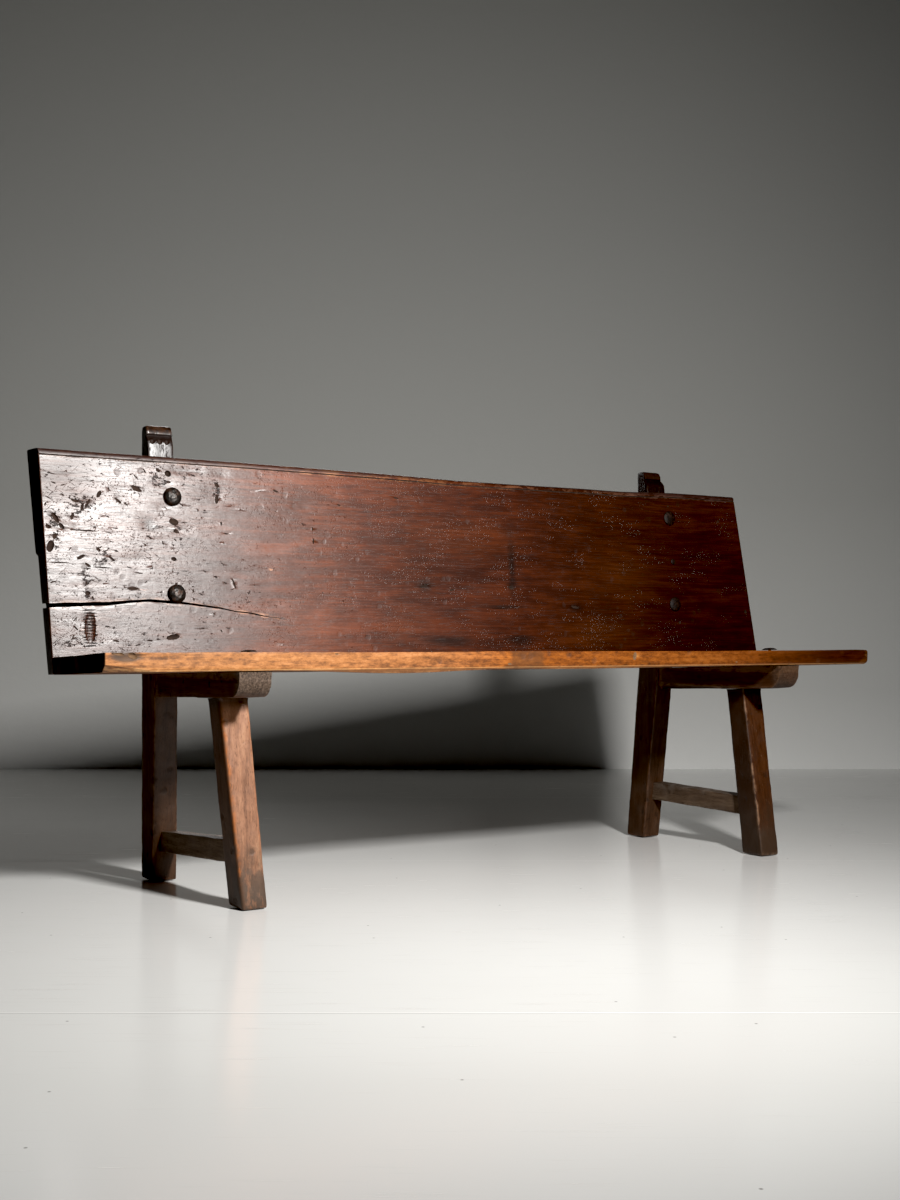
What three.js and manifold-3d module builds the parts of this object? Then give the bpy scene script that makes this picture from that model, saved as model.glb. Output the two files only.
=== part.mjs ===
// An old monks' bench in dark walnut: one thick plank for the seat and a wide one for the back, on two
// trestles. Each trestle is a bearer under the seat, a splayed front leg, a low stretcher, and a rear post
// that runs from the floor up behind the back plank to a carved tip. Millimetres, +Z up, front towards -Y.
// Inside the group X runs from the seat's left front corner, Y from its front edge and Z from the floor.

import * as THREE from 'three';
import { mergeVertices } from 'three/addons/utils/BufferGeometryUtils.js';
import Module from 'manifold-3d';

// Seat plank: it falls a little towards the back, and its left end is cut out of square
const seat_length = 1779;
const seat_depth = 365;
const seat_thickness = 34;
const seat_height = 460;
const seat_fall = 11;
const seat_end_skew = 25;
const seat_arris = 5;

// Back plank: it stands on the bearers behind the seat and leans on the posts
const back_height = 840;
const back_thickness = 48;
const back_lean_degrees = 4.6;
const back_overhang = 13;
const back_left_rake = 22;
const back_right_rake = 50;
const back_arris = 8;

// Bearers: a rounded nose in front and a through tenon in the post
const left_bearer_inset = 241;
const right_bearer_inset = 207;
const bearer_width = 63;
const left_bearer_height = 46;
const right_bearer_height = 51;
const bearer_setback = 8;
const nose_length = 34;
const nose_height = 38;
const left_bearer_arris = 2;
const right_bearer_arris = 11;

// Front legs: narrower across and deeper at the foot, where they stand further forward
const leg_top_width = 59;
const leg_top_depth = 56;
const left_leg_foot_width = 51;
const right_leg_foot_width = 54;
const leg_foot_depth = 65;
const leg_offset = 10;
const left_leg_setback = 125;
const right_leg_setback = 133;
const left_leg_splay = 48;
const right_leg_splay = 56;
const left_leg_drift = 26;
const right_leg_drift = 2;
const leg_arris = 4;

// Rear posts: splayed below the seat, leaning with the back plank above it, each ending in a carved cap
const post_width = 51;
const post_foot_width = 54;
const post_foot_depth = 65;
const post_seat_depth = 77;
const post_tip_depth = 36;
const post_splay = 51;
const left_post_offset = -2.5;
const right_post_offset = -2;
const left_post_drift = 16.5;
const right_post_drift = -7;
const post_tip_drift = 4;
const left_post_height = 910;
const right_post_height = 894;
const left_post_tip_width = 57;
const right_post_tip_width = 61;
const post_arris = 3;
const cap_height = 28;
const cap_groove = 6;
const cap_round = 10;

// Stretchers: one low rail in each trestle
const stretcher_height = 45;
const stretcher_thickness = 34;
const stretcher_inset = 17;
const left_stretcher_front = 119;
const left_stretcher_rear = 103;
const right_stretcher_front = 128;
const right_stretcher_rear = 137;

// Joints: tenons, the wedges that spread them, and the play that parts need
const tenon_thickness = 20;
const tenon_shoulder = 8;
const tenon_root = 20;
const stretcher_tenon_length = 26;
const stretcher_shoulder = 4;
const wedge_head = 5;
const wedge_point = 1.5;
const wedge_length = 28;
const fit_gap = 0.3;

// Forged nails
const back_nail_left_head = 36;
const back_nail_right_head = 31;
const back_nail_small_head = 14;
const back_nail_length = 80;
const back_nail_shank = 8;
const seat_nail_head = 30;
const seat_nail_length = 68;
const seat_nail_shank = 7;
const nail_point = 2;
const dome_share = 0.3;
const worn_dome_share = 0.12;

// Counts
const curve_steps = 6;
const nail_sides = 24;
const settle_steps = 12;

// Slopes and derived sizes
const lerp = THREE.MathUtils.lerp;
const fall = seat_fall / seat_depth;
const lean_angle = THREE.MathUtils.degToRad(back_lean_degrees);
const lean = Math.tan(lean_angle);
const back_reach = back_thickness / Math.cos(lean_angle);
const bench_length = seat_length + back_overhang;

// Heights at a distance y behind the seat's front edge
const seat_top = (y) => seat_height - fall * y;
const seat_under = (y) => seat_top(y) - seat_thickness;
const bearer_top = (y) => seat_under(y) - fit_gap;

// Distances behind the seat's front edge at a height z
const back_front = (z) => seat_depth + (z - seat_height) * lean;
const back_rear = (z) => back_front(z) + back_reach;

// Where an upright line, y from z, crosses a level one, z from y: nearly square, so this settles fast
function crossing(upright_line, level_line) {
  let y = seat_depth;
  for (let step = 0; step < settle_steps; step++) y = upright_line(level_line(y));
  return new THREE.Vector2(y, level_line(y));
}

// The post bends where the bearer's top meets the back plank's rear face
const bend = crossing((z) => back_rear(z) + fit_gap, bearer_top);
const post_foot_front = bend.x + post_splay;
const bench_depth = post_foot_front + post_foot_depth;

// The two trestles. Each x is where the left face of the piece stands.
const trestles = [
  {
    side: 'left',
    bearer_x: left_bearer_inset,
    bearer_height: left_bearer_height,
    bearer_arris: left_bearer_arris,
    leg_setback: left_leg_setback,
    leg_splay: left_leg_splay,
    leg_drift: left_leg_drift,
    leg_foot_width: left_leg_foot_width,
    post_offset: left_post_offset,
    post_drift: left_post_drift,
    post_tip_width: left_post_tip_width,
    post_height: left_post_height,
    stretcher_front: left_stretcher_front,
    stretcher_rear: left_stretcher_rear,
  },
  {
    side: 'right',
    bearer_x: seat_length - right_bearer_inset - bearer_width,
    bearer_height: right_bearer_height,
    bearer_arris: right_bearer_arris,
    leg_setback: right_leg_setback,
    leg_splay: right_leg_splay,
    leg_drift: right_leg_drift,
    leg_foot_width: right_leg_foot_width,
    post_offset: right_post_offset,
    post_drift: right_post_drift,
    post_tip_width: right_post_tip_width,
    post_height: right_post_height,
    stretcher_front: right_stretcher_front,
    stretcher_rear: right_stretcher_rear,
  },
];

// Solids: every piece is closed, cut and joined as a solid, then turned back into a mesh
const wasm = await Module();
wasm.setup();

function to_solid(geometry) {
  const bare = geometry.clone();
  bare.deleteAttribute('normal');
  bare.deleteAttribute('uv');
  const merged = mergeVertices(bare);
  return new wasm.Manifold(new wasm.Mesh({
    numProp: 3,
    vertProperties: new Float32Array(merged.attributes.position.array),
    triVerts: new Uint32Array(merged.index.array),
  }));
}

function to_geometry(solid) {
  const { vertProperties, triVerts } = solid.getMesh();
  const geometry = new THREE.BufferGeometry();
  geometry.setAttribute('position', new THREE.BufferAttribute(vertProperties, 3));
  geometry.setIndex(new THREE.BufferAttribute(triVerts, 1));
  geometry.computeVertexNormals();
  return geometry;
}

const bench = new THREE.Group();
bench.position.set(-bench_length / 2, -bench_depth / 2, 0);

function add(name, geometry, color, roughness, metalness = 0) {
  const mesh = new THREE.Mesh(geometry, new THREE.MeshStandardMaterial({ color, roughness, metalness }));
  mesh.name = name;
  bench.add(mesh);
  return mesh;
}

// A side profile of Vector2 points (y, z), drawn out along X from one end surface to the other
const sideways = new THREE.Matrix4().makeBasis(
  new THREE.Vector3(0, 1, 0), new THREE.Vector3(0, 0, 1), new THREE.Vector3(1, 0, 0));

function plank(profile, left_end, right_end) {
  const geometry = new THREE.ExtrudeGeometry(new THREE.Shape(profile), { depth: 1, bevelEnabled: false });
  geometry.applyMatrix4(sideways);
  const place = geometry.attributes.position;
  for (let i = 0; i < place.count; i++) {
    const [y, z] = [place.getY(i), place.getZ(i)];
    place.setX(i, lerp(left_end(y, z), right_end(y, z), place.getX(i)));
  }
  return to_solid(geometry);
}

// A straight bar of one profile, between x and x + width
const bar = (profile, x, width) => plank(profile, () => x, () => x + width);

// The corners of a rectangle seen from above, anticlockwise, with its upright edges cut off by an arris
function corners({ x, y, width, depth, arris = 0 }) {
  if (arris === 0) return [[x, y], [x + width, y], [x + width, y + depth], [x, y + depth]];
  const [right, rear] = [x + width, y + depth];
  return [
    [x + arris, y], [right - arris, y], [right, y + arris], [right, rear - arris],
    [right - arris, rear], [x + arris, rear], [x, rear - arris], [x, y + arris],
  ];
}

// An upright through sections, each a rectangle at a level that is a function of y
function upright(sections) {
  const rings = sections.map((section) => corners(section).map(([x, y]) => [x, y, section.level(y)]));
  const count = rings[0].length;
  const index = [];
  for (let ring = 0; ring < rings.length - 1; ring++) {
    for (let i = 0; i < count; i++) {
      const here = ring * count + i;
      const next = ring * count + (i + 1) % count;
      index.push(here, next, next + count, here, next + count, here + count);
    }
  }
  const last = (rings.length - 1) * count;
  for (let i = 1; i < count - 1; i++) {
    index.push(0, i + 1, i);
    index.push(last, last + i, last + i + 1);
  }
  const geometry = new THREE.BufferGeometry();
  geometry.setAttribute('position', new THREE.Float32BufferAttribute(rings.flat(2), 3));
  geometry.setIndex(index);
  return to_solid(geometry);
}

// The front leg's through tenon, upright in the bearer. With a margin it is the mortise.
function leg_tenon({ x, y, width, depth }, under, margin) {
  const place = { x: x - margin, y: y - margin, width: width + 2 * margin, depth: depth + 2 * margin };
  return upright([
    { ...place, level: (at) => under(at) - tenon_root },
    { ...place, level: (at) => bearer_top(at) + margin },
  ]);
}

// The wedge that spreads that tenon from above. With a margin it is the saw kerf that takes it.
function leg_wedge({ x, y, width, depth }, margin) {
  const slice = (thickness, level) => ({
    x: x + (width - thickness) / 2 - margin,
    y: y - margin,
    width: thickness + 2 * margin,
    depth: depth + 2 * margin,
    level,
  });
  return upright([
    slice(wedge_point, (at) => bearer_top(at) - wedge_length - margin),
    slice(wedge_head, (at) => bearer_top(at) + margin),
  ]);
}

// A nail about its own Y axis, with the head's flat side at the origin and its shank below it
function nail_profile(head, shank, length, share) {
  const profile = [new THREE.Vector2(0, -length), new THREE.Vector2(nail_point / 2, -length)];
  profile.push(new THREE.Vector2(shank / 2, 0));
  for (let step = 0; step <= curve_steps; step++) {
    const turn = (Math.PI / 2) * (step / curve_steps);
    profile.push(new THREE.Vector2((head / 2) * Math.cos(turn), head * share * Math.sin(turn)));
  }
  profile[profile.length - 1].x = 0;
  return profile;
}

// A nail standing on a face, and the hole that its shank needs. turn tips its axis from +Y about X.
function drive_nail({ name, x, y, z, turn, head, shank, length, share }) {
  const mesh = add(name, new THREE.LatheGeometry(nail_profile(head, shank, length, share), nail_sides),
    0x2b2622, 0.45, 0.8);
  const outward = new THREE.Vector3(0, Math.cos(turn), Math.sin(turn));
  mesh.geometry = to_geometry(to_solid(mesh.geometry));
  mesh.rotation.x = turn;
  mesh.position.set(x, y, z).addScaledVector(outward, fit_gap);
  const bore = shank / 2 + fit_gap;
  const hole = new THREE.CylinderGeometry(bore, bore, length + head, nail_sides);
  hole.translate(0, (head - length) / 2 - fit_gap, 0).rotateX(turn);
  hole.translate(mesh.position.x, mesh.position.y, mesh.position.z);
  return to_solid(hole);
}

// Lengthwise places of a post's left face and of its front and rear faces, at a height z
function post_lines({ bearer_x, post_offset, post_drift, post_height }) {
  const knee = bearer_x + post_offset;
  const below = (z) => z / bend.y;
  const above = (z) => (z - bend.y) / (post_height - bend.y);
  const tip_rear = back_rear(post_height) + post_tip_depth;
  return {
    left: (z) => (z < bend.y
      ? lerp(knee + post_drift, knee, below(z))
      : lerp(knee, knee - post_tip_drift, above(z))),
    front: (z) => (z < bend.y ? lerp(post_foot_front, bend.x, below(z)) : back_rear(z) + fit_gap),
    rear: (z) => (z < bend.y
      ? lerp(bench_depth, bend.x + post_seat_depth, below(z))
      : lerp(bend.x + post_seat_depth, tip_rear, above(z))),
  };
}

// Rear post: foot, bend, then the carved cap, which is cut back by a groove and rounded over in front
function post_solid(lines, post_height, post_tip_width) {
  const section = (z, cut_back, width) => {
    const y = lines.front(z) + cut_back;
    const depth = lines.rear(z) - y;
    return { x: lines.left(z), y, width, depth, arris: post_arris, level: () => z };
  };
  const groove = post_height - cap_height;
  return upright([
    section(0, 0, post_foot_width),
    section(bend.y, 0, post_width),
    section(groove - cap_groove, 0, post_tip_width),
    section(groove, cap_groove, post_tip_width),
    section(post_height - cap_round, cap_groove / 2, post_tip_width),
    section(post_height, cap_round, post_tip_width),
  ]);
}

// Front leg's left face and rear face at a height z, and its solid below the bearer
function leg_lines({ leg_x, bearer_under, leg_setback, leg_splay, leg_drift }) {
  const shoulder = bearer_under(leg_setback);
  return {
    left: (z) => lerp(leg_x + leg_drift, leg_x, z / shoulder),
    rear: (z) => lerp(leg_setback - leg_splay + leg_foot_depth, leg_setback + leg_top_depth, z / shoulder),
  };
}

function leg_solid({ leg_x, bearer_under, leg_setback, leg_splay, leg_drift, leg_foot_width }) {
  const foot = {
    x: leg_x + leg_drift,
    y: leg_setback - leg_splay,
    width: leg_foot_width,
    depth: leg_foot_depth,
    arris: leg_arris,
    level: () => 0,
  };
  const top = {
    x: leg_x,
    y: leg_setback,
    width: leg_top_width,
    depth: leg_top_depth,
    arris: leg_arris,
    level: (y) => bearer_under(y) - fit_gap,
  };
  return upright([foot, top]);
}

// Bearer's side profile, from the post's face round the nose. The nose is a quarter of an ellipse.
function bearer_profile(lines, bearer_under) {
  const clear = (z) => lines.front(z) - fit_gap;
  const profile = [
    crossing(clear, bearer_top),
    new THREE.Vector2(bearer_setback, bearer_top(bearer_setback)),
  ];
  for (let step = 0; step <= curve_steps; step++) {
    const turn = (Math.PI / 2) * (step / curve_steps);
    const y = bearer_setback + nose_length * (1 - Math.cos(turn));
    profile.push(new THREE.Vector2(y, bearer_under(y) + nose_height * (1 - Math.sin(turn))));
  }
  profile.push(crossing(clear, bearer_under));
  return profile;
}

// The strip that is cut off along the bearer's lower left edge
function bearer_chamfer({ bearer_x, bearer_under, bearer_arris }) {
  const low = (y) => bearer_under(y) - bearer_arris;
  const high = (y) => bearer_under(y) + bearer_arris;
  const profile = [[0, low], [bench_depth, low], [bench_depth, high], [0, high]].map(
    ([y, level]) => new THREE.Vector2(y, level(y)));
  return plank(profile, () => bearer_x - bearer_arris, (y, z) => bearer_x + high(y) - z);
}

// A four-sided profile between two upright lines and two level ones
const between = (start, end, floor, roof) => [
  crossing(start, floor), crossing(end, floor), crossing(end, roof), crossing(start, roof),
];

// A piece inside the post, centred on it, between two upright lines. half is its half thickness at (y, z).
function in_post(lines, bearer_under, start, end, half, margin) {
  const roof = (y) => bearer_top(y) - tenon_shoulder + margin;
  const floor = (y) => bearer_under(y) + tenon_shoulder - margin;
  const middle = lines.left(bend.y) + post_width / 2;
  return plank(between(start, end, floor, roof),
    (y, z) => middle - half(y, z) - margin, (y, z) => middle + half(y, z) + margin);
}

// Bearer's tenon through the post. With a margin it is the mortise.
function bearer_tenon(lines, bearer_under, margin) {
  const root = (z) => lines.front(z) - tenon_root;
  const end = (z) => lines.rear(z) + margin;
  return in_post(lines, bearer_under, root, end, () => tenon_thickness / 2, margin);
}

// The wedge that spreads that tenon from the post's rear face. With a margin it is the kerf.
function bearer_wedge(lines, bearer_under, margin) {
  const driven = (y, z) => 1 - (lines.rear(z) - y) / wedge_length;
  const point = (z) => lines.rear(z) - wedge_length - margin;
  const end = (z) => lines.rear(z) + margin;
  const half = (y, z) => lerp(wedge_point, wedge_head, driven(y, z)) / 2;
  return in_post(lines, bearer_under, point, end, half, margin);
}

// Stretcher: a rail whose ends meet the leg and the post, with a blind tenon in each
function stretcher(trestle, leg, post) {
  const { stretcher_front, stretcher_rear } = trestle;
  const [y_leg, y_post] = [leg.rear(stretcher_front), post.front(stretcher_rear)];
  const x_leg = leg.left(stretcher_front) + stretcher_inset;
  const x_post = post.left(stretcher_rear) + stretcher_inset;
  const share = (y) => (y - y_leg) / (y_post - y_leg);
  const rail_top = (y) => lerp(stretcher_front, stretcher_rear, share(y));
  const rail_left = (y) => lerp(x_leg, x_post, share(y));
  const piece = (start, end, shrink) => {
    const roof = (y) => rail_top(y) - shrink;
    const floor = (y) => rail_top(y) - stretcher_height + shrink;
    return plank(between(start, end, floor, roof),
      (y) => rail_left(y) + shrink, (y) => rail_left(y) + stretcher_thickness - shrink);
  };
  const leg_end = (z) => leg.rear(z) - stretcher_tenon_length;
  const post_end = (z) => post.front(z) + stretcher_tenon_length;
  const rail = piece((z) => leg.rear(z) + fit_gap, (z) => post.front(z) - fit_gap, 0);
  return {
    rail: rail.add(piece(leg_end, post_end, stretcher_shoulder)),
    mortise: piece((z) => leg_end(z) - fit_gap, (z) => post_end(z) + fit_gap, stretcher_shoulder - fit_gap),
  };
}

// One trestle's wooden pieces, still without their nail holes
function build_trestle(trestle) {
  const { bearer_x, bearer_height, post_height, post_tip_width, leg_setback } = trestle;
  const bearer_under = (y) => bearer_top(y) - bearer_height;
  const leg_x = bearer_x + (bearer_width - leg_top_width) / 2 + leg_offset;
  const known = { ...trestle, bearer_under, leg_x };
  const leg = leg_lines(known);
  const post = post_lines(known);
  const rail = stretcher(known, leg, post);
  const tenon_place = {
    x: leg_x + (leg_top_width - tenon_thickness) / 2,
    y: leg_setback + tenon_shoulder,
    width: tenon_thickness,
    depth: leg_top_depth - 2 * tenon_shoulder,
  };
  return {
    stretcher: rail.rail,
    front_leg: leg_solid(known)
      .add(leg_tenon(tenon_place, bearer_under, 0))
      .subtract(leg_wedge(tenon_place, fit_gap))
      .subtract(rail.mortise),
    leg_wedge: leg_wedge(tenon_place, 0),
    bearer: bar(bearer_profile(post, bearer_under), bearer_x, bearer_width)
      .subtract(bearer_chamfer(known))
      .add(bearer_tenon(post, bearer_under, 0))
      .subtract(bearer_wedge(post, bearer_under, fit_gap))
      .subtract(leg_tenon(tenon_place, bearer_under, fit_gap)),
    bearer_wedge: bearer_wedge(post, bearer_under, 0),
    rear_post: post_solid(post, post_height, post_tip_width)
      .subtract(bearer_tenon(post, bearer_under, fit_gap))
      .subtract(rail.mortise),
  };
}

const holes = { seat: [], back: [], bearers: [[], []], posts: [[], []] };

// Nails in the back plank: shares of the post's width across it, and of the plank's height up it
const back_bottom = seat_under(seat_depth);
const back_nails = [
  { name: 'left_upper', number: 0, across_share: 0.59, up_share: 0.814, head: back_nail_left_head },
  { name: 'left_lower', number: 0, across_share: 0.64, up_share: 0.366, head: back_nail_left_head },
  { name: 'right_upper', number: 1, across_share: 0.47, up_share: 0.85, head: back_nail_right_head },
  { name: 'right_middle', number: 1, across_share: 0.53, up_share: 0.597, head: back_nail_small_head },
  { name: 'right_lower', number: 1, across_share: 0.49, up_share: 0.363, head: back_nail_right_head },
];

for (const { name, number, across_share, up_share, head } of back_nails) {
  const z = lerp(back_bottom, back_height, up_share);
  const hole = drive_nail({
    name: `back_nail_${name}`,
    x: post_lines(trestles[number]).left(z) + post_width * across_share,
    y: back_front(z),
    z,
    turn: Math.PI - lean_angle,
    head,
    shank: back_nail_shank,
    length: back_nail_length,
    share: head === back_nail_small_head ? worn_dome_share : dome_share,
  });
  holes.back.push(hole);
  holes.posts[number].push(hole);
}

// Nails in the seat: one near the front and one near the back, over the middle of each bearer
const seat_nails = [
  { name: 'left_front', number: 0, back_share: 0.107, share: worn_dome_share },
  { name: 'left_rear', number: 0, back_share: 0.82, share: worn_dome_share },
  { name: 'right_front', number: 1, back_share: 0.184, share: dome_share },
  { name: 'right_rear', number: 1, back_share: 0.82, share: worn_dome_share },
];

for (const { name, number, back_share, share } of seat_nails) {
  const y = seat_depth * back_share;
  const hole = drive_nail({
    name: `seat_nail_${name}`,
    x: trestles[number].bearer_x + bearer_width / 2,
    y,
    z: seat_top(y),
    turn: Math.PI / 2 - Math.atan(fall),
    head: seat_nail_head,
    shank: seat_nail_shank,
    length: seat_nail_length,
    share,
  });
  holes.seat.push(hole);
  holes.bearers[number].push(hole);
}

const drilled = (solid, cuts) => cuts.reduce((rest, cut) => rest.subtract(cut), solid);

// Wooden pieces of each trestle
trestles.forEach((trestle, number) => {
  const { side } = trestle;
  const pieces = build_trestle(trestle);
  add(`stretcher_${side}`, to_geometry(pieces.stretcher), 0x4a3a30, 0.7);
  add(`front_leg_${side}`, to_geometry(pieces.front_leg), 0x5a3320, 0.55);
  add(`rear_post_${side}`, to_geometry(drilled(pieces.rear_post, holes.posts[number])), 0x3a2418, 0.55);
  add(`bearer_${side}`, to_geometry(drilled(pieces.bearer, holes.bearers[number])), 0x3b241a, 0.6);
  add(`leg_wedge_${side}`, to_geometry(pieces.leg_wedge), 0x6b4a30, 0.75);
  add(`bearer_wedge_${side}`, to_geometry(pieces.bearer_wedge), 0x6b4a30, 0.75);
});

// Seat plank: its rear edge is bevelled to the back plank's lean
const seat_rear = (z) => back_front(z) - fit_gap;
const seat_profile = [
  new THREE.Vector2(0, seat_top(0) - seat_arris / 2),
  new THREE.Vector2(0, seat_under(0) + seat_arris),
  new THREE.Vector2(seat_arris, seat_under(seat_arris)),
  crossing(seat_rear, seat_under),
  crossing(seat_rear, seat_top),
  new THREE.Vector2(seat_arris / 2, seat_top(seat_arris / 2)),
];
const seat = plank(seat_profile, (y) => seat_end_skew * (y / seat_depth), () => seat_length);
add('seat_plank', to_geometry(drilled(seat, holes.seat)), 0x9a6434, 0.45);

// Back plank: both ends rake to the left towards the top, and the top front edge is worn round
const up = (z) => (z - back_bottom) / (back_height - back_bottom);
const back_profile = [
  crossing(back_front, seat_under),
  crossing(back_rear, seat_under),
  new THREE.Vector2(back_rear(back_height), back_height),
  new THREE.Vector2(back_front(back_height) + back_arris, back_height),
  new THREE.Vector2(back_front(back_height - back_arris), back_height - back_arris),
];
const back = plank(back_profile,
  (y, z) => seat_end_skew - back_left_rake * up(z), (y, z) => bench_length - back_right_rake * up(z));
add('back_plank', to_geometry(drilled(back, holes.back)), 0x4a2318, 0.35);

export default bench;
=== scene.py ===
# An old monks' bench in dark walnut: a thick plank for the seat and a wide one for the back, on two trestles.
# The script follows the bench as it is put together, from the floor up. Metres, +Z up, front towards -Y.

import math
import random
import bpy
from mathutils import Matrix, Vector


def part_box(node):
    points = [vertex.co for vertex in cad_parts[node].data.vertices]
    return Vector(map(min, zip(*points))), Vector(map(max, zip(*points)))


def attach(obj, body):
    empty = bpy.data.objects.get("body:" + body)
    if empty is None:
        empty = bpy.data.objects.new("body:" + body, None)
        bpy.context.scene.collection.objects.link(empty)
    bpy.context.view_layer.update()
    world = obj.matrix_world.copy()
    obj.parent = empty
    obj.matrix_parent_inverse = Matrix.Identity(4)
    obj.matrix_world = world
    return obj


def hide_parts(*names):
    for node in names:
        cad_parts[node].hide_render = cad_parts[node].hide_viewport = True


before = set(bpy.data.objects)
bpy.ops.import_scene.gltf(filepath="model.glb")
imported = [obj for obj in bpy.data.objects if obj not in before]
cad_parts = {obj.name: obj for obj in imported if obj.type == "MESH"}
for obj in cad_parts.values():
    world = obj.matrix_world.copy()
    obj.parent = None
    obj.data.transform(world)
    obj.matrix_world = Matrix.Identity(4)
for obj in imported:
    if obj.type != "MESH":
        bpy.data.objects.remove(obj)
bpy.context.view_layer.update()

from types import SimpleNamespace

import bmesh
import bpy
import numpy as np
from mathutils import Matrix, Vector, noise

# Camera: it stands to the left of the bench, a hand's breadth above the seat, and looks along it to the right.
# Its place comes from the photograph's lines. A pixel of the photograph gives a line of sight from it.
photo_size = (900, 1200)
eye = Vector((-1.6796, -2.5872, 0.4766))
yaw, pitch = math.radians(31.89), math.radians(1.63)
lens, film = 43.99, 36
focal = lens / film * photo_size[1]
ahead = Vector((math.sin(yaw) * math.cos(pitch), math.cos(yaw) * math.cos(pitch), math.sin(pitch)))
across = Vector((math.cos(yaw), -math.sin(yaw), 0))
upward = across.cross(ahead)


def seen(u, v, point, normal):
    """Where the line of sight through the photograph's pixel (u, v) meets a plane."""
    sight = ahead * focal + across * (u - photo_size[0] / 2) + upward * (photo_size[1] / 2 - v)
    return eye + sight * ((point - eye).dot(normal) / sight.dot(normal))


def alone(*pieces):
    """Leaves these objects selected, the first of them active, and nothing else."""
    bpy.ops.object.select_all(action="DESELECT")
    for piece in reversed(pieces):
        piece.select_set(True)
        bpy.context.view_layer.objects.active = piece


alone()
bpy.ops.object.camera_add(location=eye)
camera = bpy.context.object
camera.matrix_world = Matrix.Translation(eye) @ Matrix((across, upward, -ahead)).transposed().to_4x4()
camera.data.lens, camera.data.sensor_width = lens, film
bpy.context.scene.camera = camera
view = bpy.context.scene.view_settings
view.view_transform = "Standard"
view.use_curve_mapping = True
view.curve_mapping.black_level = (0.009, 0.009, 0.009)
view.curve_mapping.update()

# Studio: a pale painted floor and a grey wall square to the camera, lit by one soft box in front of the bench.
# A lamp in the same place evens out the wall, and a tall strip below it is there for the gloss of the back plank.
# A weak lamp behind the bench falls on the bench alone. The wall is open from behind, for views of the back.
wall_distance, wall_painted_light_height = 5.51, 2.9
floor_size, wall_width, wall_height = 30, 24, 12
floor_worn, seam_colour, speck_colour = (0.55, 0.54, 0.52), (1, 1, 0.98), (0.1, 0.09, 0.08)
board_width, seam_depth = 1.304, 0.117
soft_box_place, soft_box_aim = Vector((-0.24, -1.88, 1.37)), Vector((-0.8, 0, 0.93))
soft_box_size, soft_box_power = (0.22, 0.22), 71
wall_lamp_power, wall_lamp_aim = 19, Vector((0.8, 2.6, 0.3))
strip_place, strip_aim = Vector((-0.09, -1.88, 0.58)), Vector((-0.75, 0.12, 0.65))
strip_size, strip_power = (0.22, 0.84), 30
rear_lamp_place, rear_lamp_aim = Vector((0.7, 2.3, 1.5)), Vector((0, 0, 0.45))
rear_lamp_size, rear_lamp_power = (1.4, 1.4), 42


class Strand:
    """One socket of a material's nodes. Sums written with strands add Math nodes."""

    def __init__(self, tree, socket=None):
        self.tree, self.socket = tree, socket

    def node(self, kind, sockets=None, out=0, **settings):
        made = self.tree.nodes.new("ShaderNode" + kind)
        for name, value in settings.items():
            setattr(made, name, value)
        for name, value in (sockets or {}).items():
            if isinstance(value, Strand):
                self.tree.links.new(value.socket, made.inputs[name])
            else:
                made.inputs[name].default_value = value
        return Strand(self.tree, made.outputs[out] if made.outputs else None)

    def maths(self, operation, left, right=0):
        return self.node("Math", {0: left, 1: right}, operation=operation)

    def __add__(self, other):
        return self.maths("ADD", self, other)

    def __sub__(self, other):
        return self.maths("SUBTRACT", self, other)

    def __rsub__(self, other):
        return self.maths("SUBTRACT", other, self)

    def __mul__(self, other):
        return self.maths("MULTIPLY", self, other)

    def __lt__(self, other):
        return self.maths("LESS_THAN", self, other)

    __radd__, __rmul__ = __add__, __mul__


def new_finish(name):
    """An empty material, and the strand of its object coordinates."""
    material = bpy.data.materials.new(name)
    material.use_nodes = True
    material.node_tree.nodes.clear()
    return material, Strand(material.node_tree).node("TexCoord", out="Object")


def part_of(vector, axis):
    return vector.node("SeparateXYZ", {"Vector": vector}, out=axis)


def mixed(amount, first, second, blend="MIX"):
    """Two colours mixed, each of them a strand or (red, green, blue)."""
    strand = next(value for value in (amount, first, second) if isinstance(value, Strand))
    first, second = ((*colour, 1) if isinstance(colour, tuple) else colour for colour in (first, second))
    return strand.node("Mix", {0: amount, 6: first, 7: second}, out=2, data_type="RGBA", blend_type=blend)


def ramp(factor, stops):
    """A colour for each value of a factor. A stop is its place, then red, green and blue."""
    made = factor.node("ValToRGB", {"Fac": factor})
    elements = made.socket.node.color_ramp.elements
    elements.remove(elements[1])
    for number, (at, *colour) in enumerate(stops):
        stop = elements.new(at) if number else elements[0]
        stop.position, stop.color = at, (*colour, 1)
    return made


def rise(value, low, high):
    """0 below low, 1 above high and smooth between them. high may be the smaller."""
    return value.node("MapRange", {"Value": value, "From Min": low, "From Max": high},
                      interpolation_type="SMOOTHSTEP")


def figure(place, scale, detail=3, shift=0, out=0, rough=0.6):
    """Noise that is finer where the scale is larger. The scale is one number, or one for each direction."""
    scale = scale if isinstance(scale, tuple) else (scale,) * 3
    run = place.node("Mapping", {"Vector": place, "Location": (shift, shift, shift), "Scale": scale})
    return place.node("TexNoise", {"Vector": run, "Scale": 1, "Detail": detail, "Roughness": rough}, out)


def cells(place, scale, **settings):
    return place.node("TexVoronoi", {"Vector": place, "Scale": scale}, **settings)


def relief(height, depth=0.001):
    return height.node("Bump", {"Strength": 1, "Distance": depth, "Height": height})


def varnish(colour, rough, height, depth=0.001, level=0.5, metal=0):
    """Closes a material: its surface, its relief in metres and its output."""
    surface = height.node("BsdfPrincipled", {
        "Base Color": colour, "Roughness": rough, "Normal": relief(height, depth), "Specular IOR Level": level,
        "Metallic": metal})
    height.node("OutputMaterial", {"Surface": surface})


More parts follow.
